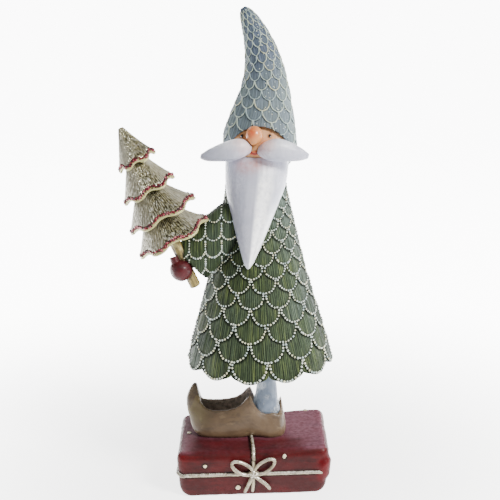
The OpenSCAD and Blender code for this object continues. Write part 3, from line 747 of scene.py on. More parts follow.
def low_edge(k):
    """Height of row k's lower edge all round; row -1 is the hem's lining."""
    if k >= ROWS:
        return np.full_like(C, COLLAR_Z)
    if k < 0:
        return np.minimum(HEM_Z + 0.9 + 4.6 * arc(across(C, 0)) * 0.97, low_edge(0) - 0.2)
    return ROW[k] + 0.97 * PITCH[k] * arc(across(C, k))


half = np.linspace(0, 1, HALF, endpoint=False)
half = 0.6 * half + 0.4 * (1 - np.cos(math.pi * half)) / 2
C = np.concatenate([(i + half) / 2 for i in range(2 * SCALLOPS)])
ANGLE = START + C * FULL / SCALLOPS
rings, data = [], {k: [] for k in ("wash", "tile", "tone", "groove", "lie")}
tile_rand = SEED.random((ROWS + 1, SCALLOPS))
tone_rand = SEED.random((ROWS + 1, SCALLOPS))
shift_rand = SEED.random((ROWS + 1, SCALLOPS)) * 6.28


def coat_ring(k, z, out, wash):
    """One ring of the coat's skin on row k."""
    z, out = z + 0 * C, out + 0 * C
    column = np.floor(C + 0.5 * ((k + 1) % 2)).astype(int) % SCALLOPS
    tile, ph = tile_rand[k, column], shift_rand[k, column]
    u = C * 15
    carve = (0.55 * np.sin(FULL * (u + 0.25 * np.sin(2.1 * u + ph)) + ph + 0.05 * z)
             + 0.45 * np.sin(FULL * (1.63 * u + 0.2 * np.sin(1.3 * u + ph * 2)) + 2 * ph + 0.04 * z))
    carve = np.clip(carve * 1.4, -1, 1)
    r = coat_r(z)
    fade = smooth(0.05, 0.5, out)
    rings.append(on_coat(ANGLE, z, out + 0.17 * np.clip(r / 40, 0.35, 1) * carve * fade))
    side_angle = np.mod(np.degrees(ANGLE) + 98 + 180, 360) - 180
    # The sides turned from the front get a painted sheen in the tone, and the left side painted shade.
    painted_side_sheen = smooth(22, 75, np.abs(side_angle))
    data["tile"].append(tile)
    data["wash"].append(wash + 0.42 * smooth(-30, -75, side_angle) * (1 - wash))
    data["tone"].append(0.62 * tone_rand[k, column] + 0.5 * painted_side_sheen)
    data["groove"].append(smooth(-0.1, -0.9, carve) * fade)
    data["lie"].append(np.stack([across(C, k) * math.pi * r / SCALLOPS + 40 * tile, z, 7.0 * k + 0 * z], -1))


def arcs_away(z, k):
    """Distances (mm) from the scale's own lower arc, and from the arcs of the row above."""
    size = math.pi * coat_r(z) / SCALLOPS
    own = size - np.hypot(across(C, k) * size, np.minimum(0, z - ROW[k] - PITCH[k]))
    if k + 1 < ROWS:
        return own, np.hypot(across(C, k + 1) * size, z - ROW[k + 1] - PITCH[k + 1]) - size
    return own, 9 + 0 * z


for k in range(ROWS - 1, -2, -1):
    row = max(k, 0)
    relief = (coat_r(ROW[k]) / HEM_R) ** 0.6 if k >= 0 else 0.5
    top, bottom = low_edge(k + 1), low_edge(k)
    if k < ROWS - 1:
        coat_ring(row, top + 0.35, -0.25, 1)
    else:
        coat_ring(row, COLLAR_Z, 0, 0)
    for s in np.linspace(0.02, 1, STEPS):
        z = top + (bottom - top) * s
        own, upper = arcs_away(z, k) if k >= 0 else (9 + 0 * z, top - z)
        # Darker just under the row above and at the scale's own edge: antiquing and painted shade under the
        # overlap.
        coat_ring(row, z, relief * (0.12 + 0.88 * s ** 0.75) * smooth(-0.2, 0.9, own + 0.4),
                  np.clip(smooth(1.7, 0.2, upper) + 0.6 * smooth(2.1, 0.5, own), 0, 1))
    coat_ring(row, bottom - 0.28, relief * 0.8, 0.9)
# the hem's thickness and the inner wall, painted dark as shade
for drop, out in ((-0.25, -1.2), (0.3, -2.6), (2.5, -3.4)):
    coat_ring(0, low_edge(-1) - 0.28 + drop, out, 1)
for z in (HEM_Z + 9, 130, 186):
    coat_ring(0, z, -3.6, 1)
coat = make("coat_shell_piece", np.concatenate(rings), skin_faces(len(rings), len(C)),
            **{k: np.concatenate(v) for k, v in data.items()})
green = cloth("coat_green_paint", "#20291f", "#526140", "#83905a", "#5a6a52", "#82918a")
co, no = points(coat)
# A painted highlight high on the coat's right, and painted shade on the faces turned to the left.
paint(coat, pale=smooth(150, 186, co[:, 2]) * smooth(0, 16, co[:, 0]),
      dim=smooth(-0.45, -0.85, no[:, 0]) * smooth(0.5, 0.1, no[:, 1]))
finish_piece(coat, green)

INSET = 0.72
dabs, sizes = [], []
for k in range(ROWS):
    share = coat_r(ROW[k]) / HEM_R
    for i in range(SCALLOPS):
        q = np.radians(np.linspace(-88, 88, 181))
        z = ROW[k] + PITCH[k] * (1 - np.cos(q)) * 0.97
        size = math.pi * coat_r(z) / SCALLOPS
        z = z + INSET * np.cos(q)
        c = i + 0.5 * (k % 2) + 0.5 * np.sin(q) * (size - INSET) / size
        angle = START + c * FULL / SCALLOPS
        line = on_coat(angle, z, share ** 0.6 * 0.93)
        keep = z < COLLAR_Z - 1
        if keep.sum() < 20:
            continue
        d = lengths(line)
        count = max(4, int(round(d[-1] / (1.0 + 0.96 * share))))
        s = np.linspace(0, d[-1], count) + SEED.normal(0, 0.13, count)
        at = np.clip(np.searchsorted(d, s), 0, len(q) - 1)
        at = at[keep[at]]
        dabs += zip(line[at] + SEED.normal(0, 0.12, (len(at), 3)), polar(1, angle[at], 0.27))
        sizes += [0.3 + 0.4 * share] * len(at)
pearl = bead_paint("bead_pearl_paint", "#d6dcd2", "#d9d8bc", "#bccac8", "#4d5947")
beads("coat_beads", dabs, sizes, 0.8, 0.08, pearl)


# ---------------- sleeves

def spine_frame(stations, count, level=False):
    """Centres, directions (along and two across) and two radii of a lofted part, at count places."""
    u = np.linspace(0, 1, count)
    p, a, b = (along(stations, w) for w in (u, np.maximum(u - 0.02, 0), np.minimum(u + 0.02, 1)))
    t = unit(b[:, :3] - a[:, :3])
    if level:
        h = np.stack([t[:, 2], 0 * u, -t[:, 0]], 1)
    else:
        h = unit(np.cross(t, np.stack([t[:, 1], -t[:, 0], 0 * u], 1)))
    return p[:, :3], t, h, np.cross(t, h), p[:, 3], p[:, 4]


def spine_place(co, spine, limit):
    """For each point: index along the spine, angle round it, and distance as a share of the radius."""
    centre, t, h, v, rh, rv = spine
    best = np.zeros(len(co), int)
    for s in range(0, len(co), 4000):
        d = co[s:s + 4000, None] - centre[None]
        off = np.abs((d * t[None]).sum(-1)) + np.where(np.linalg.norm(d, axis=-1) > limit, 500, 0)
        best[s:s + 4000] = off.argmin(1)
    d = co - centre[best]
    a, b = (d * h[best]).sum(1) / rh[best], (d * v[best]).sum(1) / rv[best]
    return best, np.arctan2(b, a), np.hypot(a, b)


def scales(c, r, depth, stagger):
    """Fish scales: row, column, place across, height over the lower edge, depth under the row above."""
    def shift(k):
        return c + 0.5 * np.mod(k, 2) * stagger

    def middle_off(k):
        return 2 * np.mod(shift(k), 1.0) - 1

    k = np.floor(r)
    for _ in range(2):
        k = np.where(r - k < depth * arc(middle_off(k)), k - 1, k)
    t = middle_off(k)
    return k, np.floor(shift(k)), t, r - k - depth * arc(t), k + 1 + depth * arc(middle_off(k + 1)) - r


def hashed(k, column, salt):
    """A number from 0 to 1 that belongs to one scale."""
    x = np.sin(k * 127.1 + column * 311.7 + salt * 74.7) * 43758.5453
    return x - np.floor(x)


def scaly_sleeve(piece, co, no, outer, c, k, column, lift, wash, contacts, x, y):
    """Raises a sleeve's scales, and stores what their paint needs."""
    carve = np.sin(c * FULL * 5 + 4 * hashed(k, column, 3)) * 0.08
    swell(piece, co, no, outer * (lift - 0.25 + carve))
    near = sum(power * touch(piece, reach, *nodes) for power, reach, *nodes in contacts)
    tile = hashed(k, column, 1)
    # Darker inside, along the scales' edges and against the coat, tree and mitten: antiquing and painted
    # shade.
    paint(piece, wash=outer * wash + 1 - outer + near, tile=tile, tone=hashed(k, column, 2) * 0.8,
          groove=smooth(0.02, -0.08, carve) * outer * 0.6, lie=np.stack([x + 40 * tile, y, 9 * k], 1))
    finish_piece(piece, dark_green)


def edge_wash_and_shade(above, under):
    """Dark paint and painted shade along the scales' edges, by the distances (mm) from them."""
    return 0.85 * smooth(1.0, 0.1, under) + 0.5 * smooth(1.4, 0.4, above)


dark_green = cloth("sleeve_green_paint", "#1a211a", "#49583a", "#68764a", "#4f5e4c", "#738176", 0.85, 0.6)
# x, y, z and the two radii
NEAR = [[-3, -9, 181, 14.5, 10], [-15, -14.5, 173, 14.4, 10.3], [-25, -18, 164.6, 13.8, 10.3],
        [-33, -20.3, 157, 13.7, 10.5], [-38.5, -21.6, 151.8, 14, 10.8]]
FAR = [[3, 9, 184, 12, 9], [4.6, 22, 172, 12.2, 9.4], [5.8, 30, 157.5, 11.8, 9.4],
       [6.6, 34.6, 144, 11.8, 9.2], [7, 37.4, 132.5, 12, 9.2]]
WIDE, TALL, NEAR_DEPTH, BOTTOM_Z, FIRST_X = 9.7, 10.5, 0.46, 146.0, -38.9
BEAD_STEP, BEAD_R = 1.45, 0.62

near, co, no = sculpt("near_sleeve", 0.4, 4)
_, _, rho = spine_place(co, spine_frame(NEAR, 240), 30)
c = (co[:, 0] + 0.5 * wobble(co, 14, 33) - FIRST_X) / WIDE + 20
k, column, t, above, under = scales(c, (co[:, 2] - BOTTOM_Z) / TALL + 20, NEAR_DEPTH, 0)
side = (1 - np.abs(t)) * WIDE / 2
scaly_sleeve(near, co, no, smooth(0.86, 0.95, rho), c, k, column,
             0.75 * np.clip(1 - above * 0.75, 0, 1) * smooth(0.0, 0.7, side),
             edge_wash_and_shade(above * TALL, under * TALL) + 0.7 * smooth(1.0, 0.2, side),
             [(1.0, 2.8, "coat_shell"), (0.7, 1.4, "tree_tier_4", "near_mitten")], co[:, 0], co[:, 2])
skin = surface(near.data)
dabs = []
for back in (False, True):
    for kk in range(5):
        for ii in range(-2, 7):
            q = np.radians(np.linspace(-90, 90, 61))
            x = FIRST_X + WIDE * (ii + 0.5 + 0.5 * np.sin(q) * 0.98)
            z = BOTTOM_Z + TALL * (kk + NEAR_DEPTH * (1 - np.cos(q))) + 0.35
            start = np.linspace(BOTTOM_Z + TALL * (kk + 1) - 0.4, z[0], 12, endpoint=False)
            x, z = np.concatenate([np.full(12, x[0]), x]), np.concatenate([start, z])
            d = lengths(np.stack([x, z], 1))
            for s in np.arange(0, d[-1], BEAD_STEP):
                px, pz = (np.interp(s + SEED.normal(0, 0.1), d, row) for row in (x, z))
                hit = land(skin, np.array([px, 100 if back else -100, pz]), (0, -1 if back else 1, 0))
                if hit is None or abs(hit[1][1]) < 0.06:
                    continue
                if hit[0][1] >= -21.5 if back else hit[0][1] <= -12.5:
                    dabs.append(hit)
beads("near_sleeve_beads", dabs, BEAD_R, 0.75, 0.12, pearl)

FAR_TALL, FAR_DEPTH, FAR_COUNT = 6.6, 0.9, 8
far, co, no = sculpt("far_sleeve", 0.4, 4)
far_spine = spine_frame(FAR, 240)
centre, _, h, v, rh, rv = far_spine
idx, angle, rho = spine_place(co, far_spine, 30)
length = lengths(centre)
c = angle / FULL * FAR_COUNT + 20
k, column, _, above, under = scales(c, (length[-1] - length[idx] - 0.8) / FAR_TALL + 20, FAR_DEPTH, 1)
scaly_sleeve(far, co, no, smooth(0.86, 0.95, rho), c, k, column, 0.8 * np.clip(1 - above, 0, 1),
             edge_wash_and_shade(above * FAR_TALL, under * FAR_TALL), [(0.9, 2.2, "coat_shell")],
             angle * 10, length[idx])
skin = surface(far.data)
dabs = []
for kk in range(8):
    for ii in range(FAR_COUNT):
        q = np.radians(np.linspace(-86, 86, 61))
        a = (ii + 0.5 * (kk % 2) + 0.5 + 0.5 * np.sin(q) * 0.93) * FULL / FAR_COUNT
        s = length[-1] - 0.8 - FAR_TALL * (kk + FAR_DEPTH * (1 - np.cos(q))) - 0.5 * np.cos(q)
        keep = s > 1
        if keep.sum() < 10:
            continue
        i = np.clip(np.searchsorted(length, s), 0, len(length) - 1)
        line = centre[i] + (rh[i] * np.cos(a))[:, None] * h[i] + (rv[i] * np.sin(a))[:, None] * v[i]
        d = lengths(line)
        for w in np.arange(0, d[-1], BEAD_STEP):
            m = min(np.searchsorted(d, w), len(q) - 1)
            if not keep[m]:
                continue
            out = unit(line[m] - centre[i[m]])
            hit = land(skin, line[m] + out * 4, -out, 8)
            if hit:
                dabs.append(hit)
beads("far_sleeve_beads", dabs, BEAD_R, 0.75, 0.12, pearl)


# ---------------- mittens

maroon = resin("mitten_red_paint", "#611720", "#4e1119", "#1c080b", "#873038", 0.42, 9,
               (1, 1, 0.6), 2.2, 0.95, 0.5, 0.4, 0.3, 0.08, bump=0.3)
for node, *beside in (("near_mitten", "near_sleeve", "tree_trunk", "tree_tier_4"),
                      ("far_mitten", "far_sleeve")):
    mitten, co, no = sculpt(node, 0.4, 5)
    swell(mitten, co, no, 0.22 * wobble(co, 5, 21) + 0.07 * wobble(co, 1.8, 22))
    deep = hollows(mitten, 8)
    # Darker against the sleeve and the trunk and in the hollows: antiquing and painted shade.
    paint(mitten, wash=touch(mitten, 1.2, *beside) + 0.9 * smooth(0.05, 0.35, deep),
          wear=smooth(0.1, 0.5, -deep))
    finish_piece(mitten, maroon)


# ---------------- face

WINGS = ("moustache_left", "moustache_right")
MIDDLE_X = 0.6

head, co, no = sculpt("head", 0.6, 3)
# Darker against the hat, moustache, nose and eyes, with a brown band under the hat's brim: painted shade.
paint(head, wash=0.5 * touch(head, 0.8, "hat", *WINGS) + 0.5 * touch(head, 0.6, "nose", "eyes"),
      wear=smooth(0.2, 0.8, wobble(co, 5, 30)), brow=touch(head, 1.0, "hat"),
      blush=spots(co, [(-5, -21, 225, 0.9), (7, -21, 225, 0.8)], 4),
      gold=spots(co, [(0.6, -21, 223.5, 1), (-5, -19, 230.5, 0.35), (9, -19, 230.5, 0.4)], 3.2))
skin = resin("face_skin_paint", "#dfbc98", "#d4aa84", "#56351c", "#dcb888", 0.62, 8,
             (1, 1, 1), 3, 0.75, 0.5, 0.25, 0.15, 0.0,
             [("blush", "#c4552f", 0.75), ("gold", "#b5843c", 0.7), ("brow", "#9a7450", 0.6)], 0.12)
finish_piece(head, skin)

nose, co, no = sculpt("nose", 0.3, 4)
# Darker against the face and the moustache: painted shade.
paint(nose, wash=0.8 * touch(nose, 0.8, "head", *WINGS), wear=0 * co[:, 0],
      blush=spots(co, [(-1.4, -27.5, 232.8, 1.0)], 3.6), gold=spots(co, [(1.5, -26, 226.2, 0.45)], 3))
nose_skin = resin("nose_skin_paint", "#dba068", "#d3924f", "#7a4420", "#eec388", 0.36, 7,
                  (1, 1, 1), 3, 0.8, 0.4, 0.15, 0.5, 0.2,
                  [("blush", "#cf5a30", 0.85), ("gold", "#dfb05a", 0.8)], 0.1)
finish_piece(nose, nose_skin)

mouth, co, no = sculpt("mouth", 0.2, 3)
smile = 220.4 + 0.17 * (co[:, 0] - 0.7) ** 2
groove = np.exp(-((co[:, 2] - smile) / 0.35) ** 2) * smooth(3.1, 2.3, np.abs(co[:, 0] - 0.7))
move(mouth, co - no * (0.3 * groove)[:, None] + [0, -0.5, -1.1])
paint(mouth, edge=smooth(0.45, 0.95, np.abs(co[:, 2] - smile)), wash=0.95 * groove,
      wear=smooth(0.2, 0.8, wobble(co, 2, 31)))
lips = resin("lip_paint", "#c25a48", "#ad3f34", "#5a1515", "#e7a890", 0.35, 4,
             (1, 1, 1), 1.5, 0.9, 0.5, 0.2, 0.5, 0.2, [("edge", "#d99a6c", 0.8)], 0.1)
finish_piece(mouth, lips)

eyes, co, no = sculpt("eyes", 0.2, 3)
for s in (-1, 1):
    one = co[:, 0] * s > 0.7 * s
    pupil = co[one].mean(0)
    co[one] = pupil + (co[one] - pupil) * [0.75, 1.2, 0.75] + [0, -0.25, 0.1]
move(eyes, co)
# Darker where the eyes meet the face: painted shade.
paint(eyes, wash=touch(eyes, 0.3, "head"), wear=0 * co[:, 0])
black = resin("eye_paint", "#17120f", "#0f0c0a", "#050404", "#3b3029", 0.18, 3,
              (1, 1, 1), 1, 0.8, 0.2, 0.3, 0.6, 0.5, bump=0.05)
finish_piece(eyes, black)

# In this white, the cool layer is painted shade and the lit layer a painted highlight.
white = resin("beard_white_paint", "#cfd0da", "#c4c6d2", "#83849a", "#e9e9f0", 0.4, 16,
              (1, 1, 0.22), 3.2, 0.6, 0.55, 0.22, 0.45, 0.1,
              [("cool", "#a6a9bd", 0.65), ("blush", "#d68f70", 0.75), ("smudge", "#7d604b", 0.7),
               ("lit", "#ffffff", 1.0)], 0.14)
for s, node in zip((-1, 1), WINGS):
    wing, co, no = sculpt(node, 0.42, 7)
    x, _, z = co.T
    hair = np.sin((z - 0.12 * s * x) * 1.5 + 0.4 * wobble(co, 9, 42))
    co, no = swell(wing, co, no, 0.16 * wobble(co, 7, 41) + 0.04 * hair * smooth(4, 12, np.abs(x - MIDDLE_X)))
    z = co[:, 2]
    # Darker against nose, mouth and beard and cool on the lower side: painted shade; lit along the top: a
    # painted highlight.
    paint(wing, wash=0.7 * touch(wing, 0.9, "nose", "mouth", "beard"),
          wear=smooth(0.2, 0.9, wobble(co, 8, 43)), cool=0.9 * smooth(223, 215, z),
          blush=spots(co, [(s * 9 + MIDDLE_X, -27, 226, 1.0), (s * 5 + MIDDLE_X, -26, 223, 0.55)], 4.2),
          smudge=spots(co, [(s * 26, -24, 214.5, 0.3)], 2.5), lit=0.35 * smooth(222, 226, z))
    finish_piece(wing, white)

beard, co, no = sculpt("beard", 0.55, 8)
x, y, z = co.T
axis = np.interp(z, [150, 170, 190, 206, 218], [-3.3, -1.5, 0.2, 1.9, 1.8])
half_width = np.interp(z, [149, 153, 160, 170, 180, 190, 198, 206, 218],
                       [1, 2.9, 5.6, 9.2, 12.7, 16, 18.3, 19.2, 18])
share = (x - axis) / half_width
front = smooth(0.1, -0.6, no[:, 1])
crest = np.interp(z, [150, 175, 200, 218], [1.2, 2.2, 1.4, 0.3]) * (1 - np.abs(share) ** 0.8).clip(0)
strands = (0.07 * np.sin((x - axis) * 0.75 + 0.8 * wobble(co * [1, 1, 0.35], 9, 52))
           + 0.03 * np.sin((x - axis) * 2.1 + wobble(co * [1, 1, 0.3], 7, 53)))
dent = 0.55 * np.exp(-(((share - 0.42) / 0.16) ** 2)) * smooth(206, 190, z)
co, no = move(beard, shifted(co, 1, -front * (crest + strands - dent)))
z = co[:, 2]
shaded = smooth(0.4, 0.7, share) * smooth(176, 192, z)
# Darker against the moustache, mouth, coat and sleeve, and cool on the left and low right: painted shade; lit
# right of the ridge: a painted highlight.
paint(beard, wash=0.75 * touch(beard, 0.9, *WINGS, "mouth")
      + 0.35 * touch(beard, 0.8, "coat_shell", "near_sleeve"),
      wear=smooth(0.1, 0.9, wobble(co * [1, 1, 0.3], 8, 54)),
      blush=spots(co, [(-8, -24, 213, 0.8), (1, -26, 215, 0.9),
                       (-2, -27, 211, 0.35), (8, -25, 214, 0.5)], 4.5),
      smudge=spots(co, [(-12.5, -22, 213, 0.9), (17.5, -16, 205, 0.7), (-9, -25, 209, 0.25)], 1.8),
      cool=0.9 * smooth(0.0, -0.6, share) + 0.6 * smooth(0.6, 0.9, share) * smooth(180, 196, z),
      lit=smooth(0.0, 0.16, share) * (1 - shaded) * smooth(214, 200, z) * front)
finish_piece(beard, white)


# ---------------- hat

# x, z and radius of the bent cone
HAT = [[2.4, 200.8, 16.4], [2.6, 207, 17.6], [3.1, 213.5, 20.2], [3.6, 219.5, 22.6], [4.2, 227, 22.3],
       [5.2, 236, 20.2], [6.3, 245, 17.6], [7.0, 254, 15.1], [6.9, 263, 13.0], [5.8, 272, 11.1],
       [3.7, 281, 9.3], [0.7, 289.5, 7.4], [-2.5, 296.5, 5.6], [-5.0, 301.2, 3.6], [-6.4, 303.6, 1.8]]
AROUND, BROW, SCALE_DEPTH = 11, 43.5, 0.97
hat, co, no = sculpt("hat", 0.48, 6)
hat_spine = spine_frame([[x, 0, z, r, r] for x, z, r in HAT], 320, level=True)
hat_centre, _, hat_h, hat_v, hat_r, _ = hat_spine
hat_len = lengths(hat_centre)


def hat_pitch(s):
    """Height of a row of scales at a distance along the hat."""
    return 2.9 + 0.18 * np.interp(s, hat_len, hat_r)


def hat_turn(s):
    """Angle (degrees from the front) of the scales' middles on the rows counted from the brow."""
    return -4 - 0.45 * (s - BROW)


rows_up, rows_down = [BROW], [BROW]
while rows_up[-1] < hat_len[-1]:
    rows_up.append(rows_up[-1] + hat_pitch(rows_up[-1]))
while rows_down[-1] > 0:
    rows_down.append(rows_down[-1] - hat_pitch(rows_down[-1] - 5))
hat_rows = np.array(rows_down[:0:-1] + rows_up)
brow_row = len(rows_down) - 1

idx, angle, rho = spine_place(co, hat_spine, 27)
s_hat = hat_len[idx]
outer = smooth(0.9, 0.97, rho) * smooth(0.0, 0.4, (no * unit(co - hat_centre[idx])).sum(1))
row_at = np.interp(s_hat, hat_rows, np.arange(len(hat_rows)))
c = (np.degrees(angle) + 90 - hat_turn(s_hat)) / (360 / AROUND) + 0.5 + 33
k, column, _, above, under = scales(c, row_at - brow_row + 40, SCALE_DEPTH, 1)
pitch = hat_pitch(s_hat)
carve = 0.05 * np.sin(c * FULL * 4 + 5 * hashed(k, column, 4))
rise = 0.5 * np.clip(hat_r[idx] / 16, 0.4, 1) * np.clip(1 - above * 1.1, 0, 1)
painted_side_sheen = smooth(0.5, 0.95, np.abs(no[:, 0]))
swell(hat, co, no, outer * (rise - 0.2 + carve))
tile = hashed(k, column, 5)
# Darker under the row above, inside and against the moustache and beard: antiquing and painted shade; the
# tone holds a painted sheen on the sides.
paint(hat, tile=tile, pale=0.6 * smooth(80, 50, s_hat),
      wash=outer * (0.9 * smooth(0.9, 0.1, under * pitch) + 0.45 * smooth(1.1, 0.3, above * pitch))
      + (1 - outer) * 0.9 + 0.5 * touch(hat, 1.2, *WINGS, "beard"),
      tone=hashed(k, column, 6) * 0.6 + 0.2 * smooth(80, 104, s_hat) + 0.5 * painted_side_sheen,
      groove=smooth(0.0, -0.05, carve) * outer * 0.35,
      lie=np.stack([(np.degrees(angle) / 57.3) * 16 + 40 * tile, s_hat, 8 * k], 1))
blue = cloth("hat_blue_paint", "#343b44", "#687486", "#8a97aa", "#65727f", "#96a3a0", 0.85, 0.3)
finish_piece(hat, blue)

hat_skin = surface(hat.data)


def land_on_hat(s, a):
    """Where the hat's skin lies at a distance along its spine and an angle round it."""
    i = int(np.clip(np.searchsorted(hat_len, s), 0, len(hat_len) - 1))
    way = math.cos(a) * hat_h[i] + math.sin(a) * hat_v[i]
    return land(hat_skin, hat_centre[i] + way * (hat_r[i] + 4), -way, 8.5), way


piping, tints = [], []
for n, base in enumerate(hat_rows):
    if base > hat_len[-1] - 3:
        continue
    girth = float(np.interp(base, hat_len, hat_r))
    for ii in range(AROUND):
        q = np.radians(np.linspace(-90, 90, 19))
        s = base + SCALE_DEPTH * hat_pitch(base) * (1 - np.cos(q))
        turn = ii + (0.5 if (n - brow_row) % 2 else 0) + 0.5 * np.sin(q) * 0.97
        # a last place past the tip ends the last run
        s = np.append(s, hat_len[-1])
        a = np.radians(hat_turn(s) + np.append(turn, 0) * 360 / AROUND - 90)
        run = []
        for at, angle in zip(s, a):
            hit, way = land_on_hat(at, angle)
            if hit and at < hat_len[-1] - 1.2:
                run.append(hit[0] + way * 0.05)
                continue
            if len(run) > 3:
                path = resample(run, 0.55)
                radius = (0.2 + 0.13 * girth / 20) * (1 + 0.4 * wobble(path, 1.3, 90 + n))
                piping.append(tube(path, radius, 7, False, (0.3, 0.9, 0.2)))
                tints.append(SEED.random())
            run = []
pipe = gather("hat_piping", piping)
co, no = points(pipe)
outward = (no * unit(co - [4, 0, 240])).sum(1)
# Darker on the piping's side that faces the hat: painted shade.
paint(pipe, tint=np.repeat(tints, [len(rows) for rows, _ in piping]), wash=smooth(0.2, -0.5, outward))
finish_piece(pipe, bead_paint("piping_paint", "#b6c2b8", "#c4c6ae", "#9fb0b2", "#39443f", 0.4))

dabs = []
for _ in range(420):
    a = math.radians(SEED.uniform(-90, 60)) if SEED.random() < 0.75 else SEED.uniform(-3.14, 3.14)
    hit, _ = land_on_hat(SEED.uniform(18, 100), a)
    if hit:
        dabs.append(hit)
beads("hat_snow_specks", dabs, 0.27, 0.6, 0.3, pearl)


# ---------------- tree

TIP, TREE_LEAN, TREE_R, RIBS = np.array([-78.5, -28, 235.3]), math.radians(24), 21.0, 72
FOLDS, FOLD_TURN = 6, math.radians(9)
# distance of each tier's rim from the tip, and its radius as a share of the largest
TIERS = [[4, 0], [21.3, 0.51], [39.7, 0.68], [56.8, 0.9], [72.4, 1]]
# extra reach of each tier at its top and at its rim, to the left and to the right
REACH = [[(0, 0), (0.6, 1.4)], [(0.2, 1.8), (0.5, 1.8)], [(1.4, 1.3), (1.0, 2.8)], [(1.8, 0.2), (0.8, 2.2)]]
# share of a tier's height, of its radius, and of its folds' depth
PROFILE = np.array([[0.0, 0.0, 0.0], [0.3, 0.3, 0.3], [0.62, 0.64, 0.7], [0.86, 0.9, 1], [1, 1, 1]])


def on_tree(p):
    """From the tree's own frame, with its tip at the origin, to the shared one."""
    return turned(p, TREE_LEAN, 0, 2) + TIP


def tree_way(p):
    return on_tree(p) - TIP


def side_of(q, degrees, a, b):
    """1 on the tree's side that faces an angle, 0 away from it."""
    return smooth(a, b, np.cos(q - math.radians(degrees)))


def tier_fold(q):
    """The crisp folds of a tier, -0.62 to 0.62."""
    fold = np.cos(FOLDS * (q - FOLD_TURN))
    return np.sign(fold) * np.abs(fold) ** 0.75 * 0.62


def tier_reach(k, f, q):
    """Extra radius at a share of the tier's height."""
    return sum(side_of(q, degrees, 0.0, 1.0) * (top + (rim - top) * f)
               for degrees, (top, rim) in zip((-172, -5), REACH[k - 1]))


def champagne_paint():
    """Worn metal brushed down the tiers: dark ribs and hair lines, painted glints, a pale lip, painted shade
    on the left and a painted highlight on the right.
    """
    m = Paint("tree_champagne_metal", "#c9c29c", 0.28, 0.85, 0.6)
    lie = m.value("lie", "Vector")
    plain, lip = m.value("plain"), m.value("lip")
    grain = m.noise(1.0, 4, 0.65, 0.3, m.scale(lie, (2.3, 0.5, 1)))
    streaks = m.lines(lie, 0.85, m.noise(4, 2, vector=m.scale(lie, (1, 0.3, 1))), 14)
    m.layer(m.span(m.noise(9, 3), 0.35, 0.65), "#c4c3ad")
    # Lighter on the calm bands, a painted highlight on the right one.
    m.layer(m.times(plain, 0.5), "#dcd6ca")
    # Painted shade on the tiers' left side.
    m.layer(m.times(m.value("left"), 0.8), "#858069")
    m.layer(m.times(m.span(grain, 0.53, 0.42), m.span(plain, 0, 1, 1.0, 0.45)), "#585238")
    m.layer(m.times(m.value("rib"), m.span(grain, 0.3, 0.7, 1.0, 0.45)), "#3f3622")
    m.layer(m.times(streaks, m.span(plain, 0, 1, 0.8, 0.5)), "#454029")
    # Painted glints on the grain.
    m.layer(m.times(m.span(grain, 0.54, 0.62, 0, 0.95), m.span(plain, 0, 1, 1.0, 0.5)), "#fffdf2")
    m.layer(m.times(lip, 0.85), "#cdca92")
    m.layer(m.times(m.value("wash"), 0.85), "#4b3c22")
    metal = m.times(m.span(lip, 0, 1, 0.85, 0.25), m.span(plain, 0, 1, 1.0, 0.55))
    return m.finish(m.span(grain, 0.25, 0.75, 0.42, 0.2), grain, 0.8, 0.35, metal)


def glitter_paint():
    """Dark to pale red facets."""
    m = Paint("rim_red_glitter", "#3f0911", 0.28, 0.45, 0.6)
    tint = m.value("tint")
    m.layer(m.span(tint, 0.1, 0.9), "#8f2133")
    m.layer(m.span(tint, 0.82, 0.95), "#d08a90")
    m.layer(m.times(m.value("wash"), 0.7), "#2c070c")
    facets = m.node("TexVoronoi", {"Vector": m.mm, "Scale": 2.0}).outputs["Distance"]
    return m.finish(m.span(m.noise(0.7, 3), 0.3, 0.7, 0.2, 0.45), facets, 0.6, 0.15)


champagne, sparkle = champagne_paint(), glitter_paint()
rim_dabs, rim_sizes = [], []


